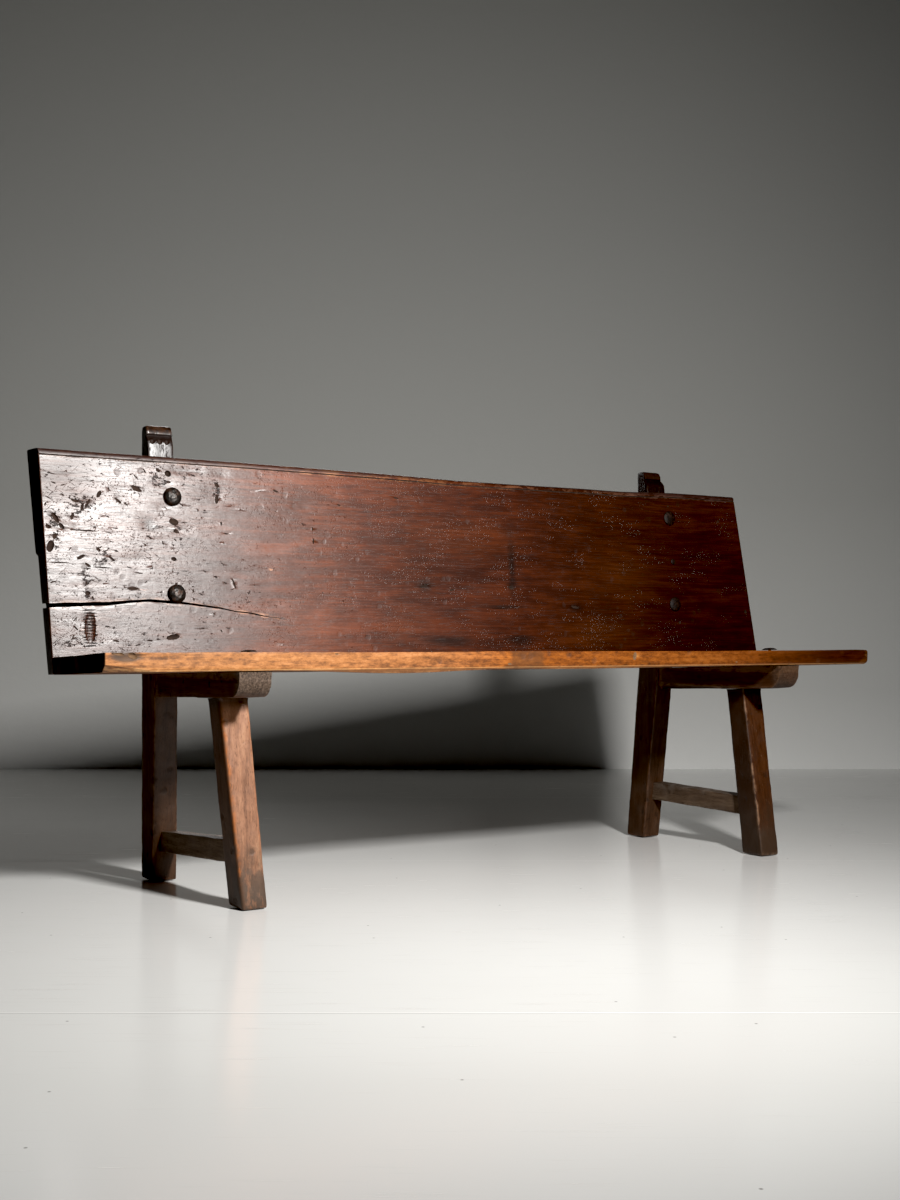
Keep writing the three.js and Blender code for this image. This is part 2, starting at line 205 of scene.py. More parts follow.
paint, place = new_finish("floor_paint_and_painted_falloff")
depth = part_of(place, "Y")
# Painted light: the floor's colour is darker near the camera and lighter towards the back, standing in for how the
# lamp's light falls across it.
floor_paint_and_painted_falloff = ramp(depth * 0.45 + 0.82, [
    (0, 0.6, 0.6, 0.59), (0.15, 0.62, 0.62, 0.605), (0.35, 0.73, 0.73, 0.715), (0.6, 0.9, 0.9, 0.885),
    (0.8, 0.985, 0.985, 0.97)])
seam = place.maths("ABSOLUTE", place.maths("FRACT", (depth - seam_depth) * (1 / board_width)) - 0.5)
seam = rise(seam, 0.4975, 0.4992)
scuffs = rise(figure(place, (6, 90, 1), 6, 3), 0.57, 0.72)
specks = rise(cells(place, 3.1, voronoi_dimensions="2D"), 0.0085, 0.003)
cloudy = figure(place, (0.9, 1.6, 1), 4)
colour = mixed(scuffs * 0.4 + rise(cloudy, 0.35, 0.8) * 0.15, floor_paint_and_painted_falloff, floor_worn)
colour = mixed(seam * rise(cloudy, 0.42, 0.55) * 0.4, colour, seam_colour)
colour = mixed(specks * 0.7, colour, speck_colour)
varnish(colour, cloudy * 0.16 + scuffs * 0.1 + 0.11, cloudy * 0.6 - seam - scuffs * 0.1, 0.0006)
alone()
bpy.ops.mesh.primitive_plane_add(size=floor_size)
floor = bpy.context.object
floor.name = "studio_floor"
floor.rotation_euler.z = -yaw
floor.data.materials.append(paint)

paint, place = new_finish("wall_paint")
# Painted light: the wall is coloured lighter near the floor and darker higher up, standing in for the lamp's light and
# the floor's bounce on it.
colour = ramp(part_of(place, "Y") * (1 / wall_painted_light_height) + figure(place, (0.5, 0.5, 1)) * 0.06 - 0.03, [
    (0, 0.84, 0.84, 0.82), (0.1, 0.64, 0.64, 0.62), (0.35, 0.45, 0.45, 0.43), (0.7, 0.34, 0.34, 0.325),
    (1, 0.27, 0.27, 0.255)])
surface = place.node("BsdfPrincipled", {
    "Base Color": colour, "Roughness": 0.75, "Normal": relief(figure(place, (25, 25, 1), 4))})
from_behind, open_side = place.node("NewGeometry", out="Backfacing"), place.node("BsdfTransparent")
shown = place.node("MixShader", {0: from_behind, 1: surface, 2: open_side})
place.node("OutputMaterial", {"Surface": shown})
foot = Vector((eye.x + math.sin(yaw) * wall_distance, eye.y + math.cos(yaw) * wall_distance, 0))
alone()
bpy.ops.mesh.primitive_plane_add(size=1)
wall = bpy.context.object
wall.name = "studio_wall"
wall.scale = (wall_width, wall_height, 1)
bpy.ops.object.transform_apply(location=False, rotation=False, scale=True)
for corner in wall.data.vertices:
    corner.co.y += wall_height / 2
wall.rotation_euler = (math.radians(90), 0, -yaw)
wall.location = foot
wall.data.materials.append(paint)

bench_only, wall_only, gloss_only = map(bpy.data.collections.new, ("bench_only", "wall_only", "gloss_only"))
wall_only.objects.link(wall)


def lamp(place, aim, power, size, only=None):
    """A rectangular lamp that the camera doesn't see. It may light one collection only."""
    alone()
    bpy.ops.object.light_add(type="AREA", location=place)
    made = bpy.context.object
    made.data.shape, made.data.energy = "RECTANGLE", power
    made.data.size, made.data.size_y = size
    made.rotation_euler = (aim - place).to_track_quat("-Z", "Y").to_euler()
    made.light_linking.receiver_collection = only
    made.visible_camera = False
    return made


soft_box = lamp(soft_box_place, soft_box_aim, soft_box_power, soft_box_size)
soft_box.data.color, soft_box.data.spread = (1, 0.985, 0.96), math.radians(160)
lamp(soft_box_place, wall_lamp_aim, wall_lamp_power, soft_box_size, wall_only)
strip = lamp(strip_place, strip_aim, strip_power, strip_size, gloss_only)
strip.data.color, strip.visible_diffuse = (1, 0.968, 0.94), False
lamp(rear_lamp_place, rear_lamp_aim, rear_lamp_power, rear_lamp_size, bench_only)

world = bpy.data.worlds.new("studio")
world.use_nodes = True
bpy.context.scene.world = world
world.node_tree.nodes.clear()
air = Strand(world.node_tree)
room = air.node("Background", {"Color": (0.5, 0.5, 0.5, 1), "Strength": 0.005})
backdrop = air.node("Background", {"Color": (0.5, 0.5, 0.49, 1), "Strength": 0.5})
both = air.node("MixShader", {0: air.node("LightPath", out="Is Camera Ray"), 1: room, 2: backdrop})
air.node("OutputWorld", {"Surface": both})

# Front legs: stout square walnut, splayed forward and narrower across at the foot. Each is wedged into its
# bearer from above. The arris towards the camera is worn to bare wood, and the feet are bruised round.
leg_places = {
    "left": ((-0.617, -0.1859, 0), (0.051, 0.065), (-0.643, -0.1379, 0.3756), (0.059, 0.056), 0.008),
    "right": ((0.627, -0.1859, 0), (0.054, 0.065), (0.625, -0.1299, 0.3704), (0.059, 0.056), 0.005),
}
leg_top_fall = 0.0017
leg_arris, foot_round = 0.004, 0.006


def block(low, high):
    """A squared block between two corners, with its place in its mesh."""
    alone()
    middle = [(a + b) / 2 for a, b in zip(low, high)]
    bpy.ops.mesh.primitive_cube_add(size=1, location=middle, scale=[b - a for a, b in zip(low, high)])
    bpy.ops.object.transform_apply()
    return bpy.context.object


def shape(piece, kind, test, operator, **settings):
    """Runs one edit-mode operator on the verts, edges or faces that the test picks."""
    alone(piece)
    bpy.ops.object.mode_set(mode="EDIT")
    bpy.ops.mesh.select_mode(type={"verts": "VERT", "edges": "EDGE", "faces": "FACE"}[kind])
    bpy.ops.mesh.select_all(action="DESELECT")
    grid = bmesh.from_edit_mesh(piece.data)
    for part in getattr(grid, kind):
        if test(part):
            part.select_set(True)
    grid.select_flush_mode()
    bmesh.update_edit_mesh(piece.data)
    operator(**settings)
    bpy.ops.object.mode_set(mode="OBJECT")


def shift(piece, test, move):
    """Moves the vertices whose place passes the test."""
    shape(piece, "verts", lambda vert: test(vert.co), bpy.ops.transform.translate, value=move)


def stretch(piece, test, factors, centre):
    shape(piece, "verts", lambda vert: test(vert.co), bpy.ops.transform.resize, value=factors, center_override=centre)


def axis_of(ends):
    way = ends[1] - ends[0]
    return max(range(3), key=lambda axis: abs(way[axis]))


def apply(piece, modifier):
    alone(piece)
    bpy.ops.object.modifier_apply(modifier=modifier.name)


def ease(piece, width_of, steps=3):
    """Rounds the edges of a block. width_of(middle, axis) is an edge's round in metres."""
    mesh = piece.data
    widths = []
    for edge in mesh.edges:
        ends = [mesh.vertices[number].co for number in edge.vertices]
        widths.append(width_of((ends[0] + ends[1]) / 2, axis_of(ends)))
    weights = mesh.attributes.new("bevel_weight_edge", "FLOAT", "EDGE")
    weights.data.foreach_set("value", [width / max(widths) for width in widths])
    bevel = piece.modifiers.new("ease", "BEVEL")
    bevel.limit_method, bevel.width, bevel.segments = "WEIGHT", max(widths), steps
    bevel.use_clamp_overlap = False
    apply(piece, bevel)


def rings(piece, cuts, over=0.018):
    """Cuts the long edges along each axis in turn into equal lengths, so that the faces become a grid."""
    for axis, number in cuts.items():
        shape(piece, "edges",
              lambda edge: edge.calc_length() > over and axis_of([vert.co for vert in edge.verts]) == axis,
              bpy.ops.mesh.subdivide, number_cuts=number)


def roughen(piece, size, depth, kept=None):
    """Takes up to depth metres off the surface in soft hollows of about a size, but not where kept(place) is true."""
    hollows = bpy.data.textures.new("hollows", "CLOUDS")
    hollows.noise_scale, hollows.noise_depth = size, 2
    displace = piece.modifiers.new("roughen", "DISPLACE")
    displace.texture, displace.strength, displace.mid_level = hollows, depth, 1
    if kept:
        free = piece.vertex_groups.new(name="free")
        free.add([vert.index for vert in piece.data.vertices if not kept(vert.co)], 1, "REPLACE")
        displace.vertex_group = "free"
    apply(piece, displace)
    piece.vertex_groups.clear()


def slices(piece, axis, places):
    """Scores a piece right across at some places, so that its faces become strips."""
    alone(piece)
    bpy.ops.object.mode_set(mode="EDIT")
    across_axis = [1 if number == axis else 0 for number in range(3)]
    for place in places:
        bpy.ops.mesh.select_all(action="SELECT")
        bpy.ops.mesh.bisect(plane_co=[place * part for part in across_axis], plane_no=across_axis)
    bpy.ops.object.mode_set(mode="OBJECT")


def places_of(mesh):
    places = np.empty(len(mesh.vertices) * 3)
    mesh.vertices.foreach_get("co", places)
    return places.reshape(-1, 3)


def put(piece, places):
    piece.data.vertices.foreach_set("co", places.ravel())
    piece.data.update()


def curvature(piece, rounds=2):
    """How far each vertex stands out from its neighbours, in metres, smoothed over a few rounds."""
    mesh = piece.data
    places = places_of(mesh)
    normals = np.empty(len(mesh.vertices) * 3)
    mesh.vertex_normals.foreach_get("vector", normals)
    ends = np.empty(len(mesh.edges) * 2, dtype=np.int64)
    mesh.edges.foreach_get("vertices", ends)
    first, second = ends.reshape(-1, 2).T
    shared = np.maximum(np.bincount(first, minlength=len(places)) + np.bincount(second, minlength=len(places)), 1)

    def mean(values):
        total = np.bincount(first, values[second], len(places)) + np.bincount(second, values[first], len(places))
        return total / shared

    around = np.stack([mean(places[:, axis]) for axis in range(3)], axis=1)
    bend = ((places - around) * normals.reshape(-1, 3)).sum(1)
    for _ in range(rounds):
        bend = (bend + mean(bend)) / 2
    return places, normals.reshape(-1, 3), bend


def wear(piece, depth, full=0.0006):
    """Rubs the arrises down unevenly, then notes on each vertex how much it is worn or sunk."""
    places, normals, bend = curvature(piece)
    worn = np.clip(bend / full, 0, 1)
    bite = np.array([0.5 + 0.5 * noise.noise(Vector(place) * 35) + 0.4 * noise.noise(Vector(place) * 110)
                     if amount > 0.05 else 0 for place, amount in zip(places, worn)])
    places -= normals * (worn * np.clip(bite, 0, 1.2) * depth)[:, None]
    put(piece, places)
    _, _, bend = curvature(piece, 3)
    for name, amount in (("worn", bend), ("sunk", -bend)):
        note = piece.data.attributes.new(name, "FLOAT", "POINT")
        note.data.foreach_set("value", np.clip(amount / full, 0, 1))


def hand_over(piece, slot, finish, node):
    """The last steps of every piece: its name, its shading, its finish, and the CAD node that it stands for."""
    piece.name = piece.data.name = f"dressed_{node}"
    alone(piece)
    bpy.ops.object.shade_smooth_by_angle(angle=math.radians(38))
    slots = piece.data.materials
    while len(slots) > len(finish):
        slots.pop()
    while len(slots) < len(finish):
        slots.append(None)
    for number, material in enumerate(finish):
        slots[number] = material
    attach(piece, "root")
    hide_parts(node)
    bench_only.objects.link(piece)
    if slot in ("back_wood", "nail_iron"):
        gloss_only.objects.link(piece)


def walnut(name, grain, palette, worn_colour, shift=0, pith=(0.3, 0.3, 0.3), ring_width=0.009,
           dings=1, holes=0, streaks=0.55, blotches=0):
    """A material, and old walnut for it with its grain along an axis: colour, roughness, height in millimetres."""
    finish, place = new_finish(name)

    def run(along, over):
        return tuple(along if axis == grain else over for axis in range(3))

    def moved(by, amount):
        return place.node("VectorMath", {0: by, 1: (amount,) * 3, 2: place}, operation="MULTIPLY_ADD")

    drift = figure(place, run(1.6, 7), 3, shift)
    swayed = moved(figure(place, run(2.2, 9), 2, shift + 5, out=1), 0.09)
    from_pith = place.node("Mapping", {"Vector": swayed, "Location": pith, "Scale": run(0, 1)})
    radius = place.node("VectorMath", {0: from_pith}, out="Value", operation="LENGTH")
    growth = place.maths("SINE", radius * (2 * math.pi / ring_width)) * 0.5 + 0.5
    fibre = figure(place, run(9, 330), 4, shift, rough=0.7)
    band = figure(place, run(3, 60), 5, shift + 2, rough=0.65)
    pores = rise(figure(place, run(30, 1000), 1, shift), 0.6, 0.72)
    tone = (drift * 0.45 + band * streaks + growth * 0.06 + fibre * 0.42 + (0.3 - 0.5 * (streaks + blotches) - 0.275)
            + figure(place, run(14, 40), 5, shift + 6, rough=0.7) * blotches)
    colour = ramp(tone, palette)

    ding = rise(cells(moved(figure(place, 60, 3, out=1), 0.012), 34), 0.3, 0.12)
    ding = ding * rise(figure(place, 9, 2, shift + 8), 0.46, 0.6)
    lean = place.node("Mapping", {"Vector": place, "Rotation": (0.35, 0.25, 0.45)})
    scratch = rise(figure(lean, run(14, 420), 2, shift + 3), 0.7, 0.78)
    wormy = rise(figure(place, 5, 2, shift + 4), 0.6 - holes * 0.2, 0.68 - holes * 0.2)
    hole = (cells(place, 62) < 0.085) * wormy

    worn, sunk = (place.node("Attribute", out="Fac", attribute_name=name) for name in ("worn", "sunk"))
    broken = rise(figure(place, run(40, 90), 4, shift + 9, rough=0.7), 0.38, 0.58)
    rubbed = rise(worn * (band * 0.8 + fibre * 0.5 + 0.2) * (broken * 0.8 + 0.2), 0.12, 0.5)
    colour = mixed(rubbed, colour, worn_colour)
    grime = rise(sunk, 0.05, 0.6) * 0.7 + ding * 0.45 * dings + pores * 0.55 + hole
    colour = mixed(place.maths("MINIMUM", grime, 0.93), colour, (0.006, 0.003, 0.002))
    colour = mixed(scratch * 0.4, colour, worn_colour)
    rough = 0.36 + fibre * 0.1 + drift * 0.1 + ding * 0.12 + pores * 0.15 - rubbed * 0.05
    height = (fibre * 0.16 + band * 0.3 + growth * 0.05 - pores * 0.1 - ding * 0.9 * dings - scratch * 0.14
              - hole * 1.2 + figure(place, run(14, 22), 2, shift + 1) * 1)
    return finish, SimpleNamespace(place=place, colour=colour, rough=rough, height=height, band=band, drift=drift,
                                   fibre=fibre, rubbed=rubbed, ding=ding)


def tint(wood, amount, colour, blend="MIX"):
    wood.colour = mixed(amount, wood.colour, colour, blend)


def oiled(wood, dust, duller=0, level=0.5):
    """Closes a wood: a film of dust and dirt over it, and how much duller it is than waxed wood."""
    film = rise(figure(wood.place, 30, 5, 11), 0.42, 0.72) * dust
    tint(wood, film, (0.3, 0.27, 0.24))
    varnish(wood.colour, wood.rough + film * 0.3 + duller, wood.height, level=level)


def above(wood, axis, low, high):
    """0 below low and 1 above high along an axis of the piece."""
    return rise(part_of(wood.place, axis), low, high)


leg_palettes = {
    "left": ([(0.22, 0.055, 0.02, 0.009), (0.45, 0.25, 0.115, 0.062), (0.75, 0.46, 0.25, 0.14)],
             (0.42, 0.14, 0.042)),
    "right": ([(0.2, 0.012, 0.004, 0.0016), (0.5, 0.05, 0.016, 0.005), (0.8, 0.1, 0.036, 0.012)],
              (0.62, 0.35, 0.2)),
}
for number, (side, (foot_low, foot_size, top_low, top_size, worn_arris)) in enumerate(leg_places.items()):
    leg = block(foot_low, (foot_low[0] + foot_size[0], foot_low[1] + foot_size[1], top_low[2]))
    middle = Vector((foot_low[0] + foot_size[0] / 2, foot_low[1] + foot_size[1] / 2, top_low[2]))
    top = lambda at: at.z > 0.3
    stretch(leg, top, (top_size[0] / foot_size[0], top_size[1] / foot_size[1], 1), middle)
    shift(leg, top, (top_low[0] + top_size[0] / 2 - middle.x, top_low[1] + top_size[1] / 2 - middle.y, 0))
    shift(leg, lambda at: at.z > 0.3 and at.y > top_low[1] + top_size[1] / 2, (0, 0, -leg_top_fall))

    def leg_round(place, axis):
        if axis == 2:
            towards_camera = place.x < middle.x and place.y < middle.y
            return worn_arris if towards_camera else leg_arris
        return foot_round if place.z < 0.1 else 0.001

    ease(leg, leg_round)
    rings(leg, {2: 84, 0: 9, 1: 10})
    fitted = lambda at: at.z > top_low[2] - 0.003
    roughen(leg, 0.06, 0.0022, fitted)
    roughen(leg, 0.014, 0.0007, fitted)
    wear(leg, 0.0022)
    palette, worn_colour = leg_palettes[side]
    finish, wood = walnut(f"front_leg_walnut_{side}", 2, palette, worn_colour, shift=number * 7 + 1, ring_width=0.012,
                          streaks=0.45, blotches=0.25)
    low_down = 1 - above(wood, "Z", 0.015, 0.17)
    bruised = rise(figure(wood.place, (60, 60, 25), 5, 2, rough=0.7) + low_down * 0.16, 0.52, 0.66) * low_down
    tint(wood, bruised * 0.85, (0.055, 0.04, 0.03) if side == "left" else (0.04, 0.021, 0.011))
    # Painted shade: the left side face of each leg is darkened in colour, as the side turned away from the soft box.
    from_side = part_of(wood.place, "X") + part_of(wood.place, "Z") * ((foot_low[0] - top_low[0]) / top_low[2])
    side_in_painted_shade = 1 - rise(from_side, foot_low[0] + 0.0015, foot_low[0] + 0.006)
    tint(wood, side_in_painted_shade * 0.85, (0.016, 0.007, 0.003))
    tint(wood, low_down * 0.35, (0.05, 0.033, 0.022))
    # Painted shadow: the top of the leg, just under the bearer's nose and the seat's edge, is darkened in colour.
    tint(wood, above(wood, "Z", 0.345, 0.372) * 0.8, (0.012, 0.006, 0.004))
    oiled(wood, 0.02, 0.06, 0.3)
    hand_over(leg, "trestle_wood", [finish], f"front_leg_{side}")

# Stretchers: one low rail in each trestle, from the front leg back to the post. Dry walnut, never polished,
# that has caught dust. Each end is let into its leg and its post.
stretcher_places = {
    "left": (((-0.6082, -0.1085), 0.119), ((-0.6281, 0.1851), 0.103), 0.0025),
    "right": (((0.6433, -0.1046), 0.128), ((0.6233, 0.181), 0.137), 0.0015),
}
stretcher_size = (0.034, 0.045)
stretcher_let_in = 0.012
rail_palette = [(0.2, 0.018, 0.011, 0.007), (0.5, 0.072, 0.046, 0.03), (0.85, 0.17, 0.12, 0.08)]
for number, (side, (front, rear, tilt)) in enumerate(stretcher_places.items()):
    (front_place, front_top), (rear_place, rear_top) = front, rear
    start_y, end_y = front_place[1] - stretcher_let_in, rear_place[1] + stretcher_let_in
    rail = block((front_place[0], start_y, front_top - stretcher_size[1]),
                 (front_place[0] + stretcher_size[0], end_y, front_top))
    shift(rail, lambda at: at.y > 0, (rear_place[0] - front_place[0], 0, rear_top - front_top))
    middle_x = (front_place[0] + rear_place[0] + stretcher_size[0]) / 2
    shift(rail, lambda at: at.x > middle_x and at.z > 0.11, (0, 0, tilt))
    ease(rail, lambda place, axis: (0.005 if place.z < 0.1 else 0.0025) if axis == 1 else 0.001)
    rings(rail, {1: 70, 2: 9, 0: 7})
    roughen(rail, 0.05, 0.0026)
    roughen(rail, 0.012, 0.0009)
    wear(rail, 0.002)
    finish, wood = walnut(f"stretcher_walnut_{side}", 1, rail_palette, (0.3, 0.23, 0.17), shift=number * 4 + 2,
                          ring_width=0.012)
    oiled(wood, 0.05 + above(wood, "Z", 0.115, 0.14) * number * 0.3, 0.22, 0.25)
    hand_over(rail, "stretcher_wood", [finish], f"stretcher_{side}")

# Rear posts: one length of walnut each, raked back from the seat to the floor and leaning with the back plank
# above it, up to a carved cap. The back plank is nailed to them, and the bearer's wedged tenon shows behind.
lean_angle = math.radians(4.6)
lean = math.tan(lean_angle)
knee, post_rake = (0.14685, 0.41335), 0.051
seat_front, seat_line = -0.262851, (0.102149, 0.46)
back_thickness = 0.048155
post_depth_foot, post_depth_knee, post_depth_tip = 0.065, 0.077, 0.036
cap_profile = ((0.034, 0), (0.028, 0.0055), (0.023, 0.007), (0.0205, 0.0035), (0.0125, 0.0035), (0, 0.0105))
cap_height, cap_eased, wax_from = 0.025, 0.0215, 0.835
cap_teeth = {
    "left": (0.0335, (0.2, 0.47, 0.73), (0.0062, 0.0042, 0.0085)),
    "right": (0.029, (0.18, 0.38, 0.57, 0.8), (0.0036, 0.0026, 0.0055)),
}
post_places = {
    "left": ((-0.641, 0.054), (-0.6575, 0.051), (-0.6615, 0.057), 0.91, 0),
    "right": ((0.604, 0.054), (0.611, 0.051), (0.607, 0.061), 0.894, 0.008),
}
tenon_half, tenon_shoulder, bearer_fall = 0.01, 0.008, 0.030137
mortise_front, mortise_at, mortise_rear = 0.1, 0.185, 0.28
bearer_top_line = 0.4257 + bearer_fall * seat_front
bearer_heights = {"left": 0.046, "right": 0.051}
fit_gap, near = 0.0003, 0.0004


def back_front(z):
    """How far back the back plank's front face is at a height."""
    return seat_line[0] + (z - seat_line[1]) * lean


def bearer_top(y):
    return bearer_top_line - bearer_fall * y


def cut_out(piece, cutter, slot_number=1):
    """Takes a cutter's shape out of a piece. The cut faces get the piece's second material."""
    for part in (piece, cutter):
        while len(part.data.materials) < 2:
            part.data.materials.append(None)
    for face in cutter.data.polygons:
        face.material_index = slot_number
    cut = piece.modifiers.new("cut", "BOOLEAN")
    cut.operation, cut.solver, cut.object = "DIFFERENCE", "MANIFOLD", cutter
    apply(piece, cut)
    bpy.data.objects.remove(cutter)


def gouges(piece, marks, sides=12, ragged=0, slot_number=1):
    """Scoops bowls out of a piece. A mark is a place, its half sizes and a turn. Marks don't overlap."""
    alone()
    for number, (place, halves, turn) in enumerate(marks):
        bpy.ops.mesh.primitive_uv_sphere_add(segments=sides, ring_count=sides // 2 + 2, radius=1, location=place,
                                             rotation=turn, scale=halves)
        if number == 0:
            cutter = bpy.context.object
            bpy.ops.object.transform_apply()
            bpy.ops.object.mode_set(mode="EDIT")
    bpy.ops.object.mode_set(mode="OBJECT")
    if ragged:
        roughen(cutter, 0.003, ragged)
    cut_out(piece, cutter, slot_number)


def torn_wood(name, dark, light, rough=0.65):
    """Bare wood inside a cut, a hole or a break: fibrous and dull."""
    material, place = new_finish(name)
    fibres, patches = figure(place, (60, 500, 500), 4), figure(place, 25, 3, 4)
    colour = ramp(fibres * 0.6 + patches * 0.5 - 0.05, [(0.3, *dark), (0.75, *light)])
    varnish(colour, patches * 0.2 + rough, fibres * 0.5 + patches * 0.4, level=0.15)
    return material


post_palette = [(0.2, 0.017, 0.007, 0.003), (0.5, 0.046, 0.021, 0.01), (0.8, 0.095, 0.045, 0.024)]
carved = torn_wood("carved_walnut", (0.005, 0.002, 0.001), (0.03, 0.014, 0.008), 0.5)
for number, (side, (foot_place, knee_place, tip_place, post_height, cap_step)) in enumerate(post_places.items()):
    foot_front = knee[0] + post_rake
    post = block((foot_place[0], foot_front, 0), (sum(foot_place), foot_front + post_depth_foot, knee[1]))
    foot_middle = foot_place[0] + foot_place[1] / 2
    at_knee = lambda at: abs(at.z - knee[1]) < near
    stretch(post, at_knee, (knee_place[1] / foot_place[1], post_depth_knee / post_depth_foot, 1),
            (foot_middle, foot_front, knee[1]))
    shift(post, at_knee, (knee_place[0] + knee_place[1] / 2 - foot_middle, -post_rake, 0))
    knee_rear = knee[0] + post_depth_knee
    tip_rear = back_front(post_height) + back_thickness + post_depth_tip
    last = Vector((knee_place[0], knee[0], knee[1])), Vector((sum(knee_place), knee_rear, knee[1]))
    for below, cut_back in cap_profile:
        z = post_height - below
        share = (z - knee[1]) / (post_height - knee[1])
        left = knee_place[0] + (tip_place[0] - knee_place[0]) * share
        right = sum(tip_place) - (cap_step if below < cap_height else 0)
        front = back_front(z) + back_thickness + fit_gap + cut_back
        ring = Vector((left, front, z)), Vector((right, knee_rear + (tip_rear - knee_rear) * share, z))
        shape(post, "faces", lambda face: face.normal.z > 0.9 and face.calc_center_median().z > last[0].z - near,
              bpy.ops.mesh.extrude_region_move, TRANSFORM_OT_translate={"value": (0, 0, z - last[0].z)})
        middle = (last[0] + last[1]) / 2
        for corner in range(4):
            on_right, on_rear = corner % 2, corner // 2
            shift(post, lambda at: abs(at.z - z) < near and (at.x > middle.x) == on_right
                  and (at.y > middle.y) == on_rear,
                  (ring[on_right].x - last[on_right].x, ring[on_rear].y - last[on_rear].y, 0))
        last = ring

    def post_round(place, axis):
        if place.z > post_height - cap_eased and axis != 2:
            return 0.006 if place.z > post_height - 0.001 else 0
        if axis == 2:
            return 0.0045 if place.z < knee[1] + 0.01 else 0.003
        return 0.005 if place.z < 0.01 else 0

    ease(post, post_round, steps=2)
    rings(post, {2: 92}, over=0.1)
    rings(post, {0: 10, 1: 12})
    roughen(post, 0.06, 0.0022)
    roughen(post, 0.013, 0.0008)

    knee_middle = knee_place[0] + knee_place[1] / 2
    mortise_top = bearer_top(mortise_at) - tenon_shoulder + fit_gap
    mortise_low = bearer_top(mortise_at) - bearer_heights[side] + tenon_shoulder - fit_gap
    mortise = block((knee_middle - tenon_half - fit_gap, mortise_front, mortise_low),
                    (knee_middle + tenon_half + fit_gap, mortise_rear, mortise_top))
    shift(mortise, lambda at: at.y > mortise_at, (0, 0, -bearer_fall * (mortise_rear - mortise_front)))
    cut_out(post, mortise)
    below, spread, tooth = cap_teeth[side]
    teeth_y = back_front(post_height - below) + back_thickness + fit_gap
    for share in spread:
        gouges(post, [((tip_place[0] + tip_place[1] * share, teeth_y, post_height - below), tooth, (0.25, 0, 0))])
    wear(post, 0.0018)
    post.data.materials.append(None)
    figured = {"shift": number * 9 + 3, "ring_width": 0.012}
    finish, wood = walnut(f"rear_post_walnut_{side}", 2, post_palette, (0.1, 0.045, 0.022), **figured)
    tint(wood, above(wood, "Z", 0.7, 0.82) * 0.8, (0.008, 0.003, 0.0018))
    oiled(wood, 0.03, 0.12, 0.2)
    waxed, wood = walnut(f"rear_post_tip_{side}", 2, post_palette, (0.1, 0.045, 0.022), **figured)
    runs = rise(figure(wood.place, (330, 330, 40), 3, 51), 0.56, 0.66)
    tint(wood, wood.rubbed * (-0.3 + number * 0.2) + 0.93, (0.008, 0.003, 0.0018))
    varnish(wood.colour, wood.rough * 0.75 + runs * 0.35 + number * 0.05, wood.height * 0.7 - runs * 0.4,
            level=0.5 - number * 0.36)
    for face in post.data.polygons:
        if face.center.z > wax_from and face.material_index == 0:
            face.material_index = 2
    hand_over(post, "trestle_wood", [finish, carved, waxed], f"rear_post_{side}")
    gloss_only.objects.link(post)

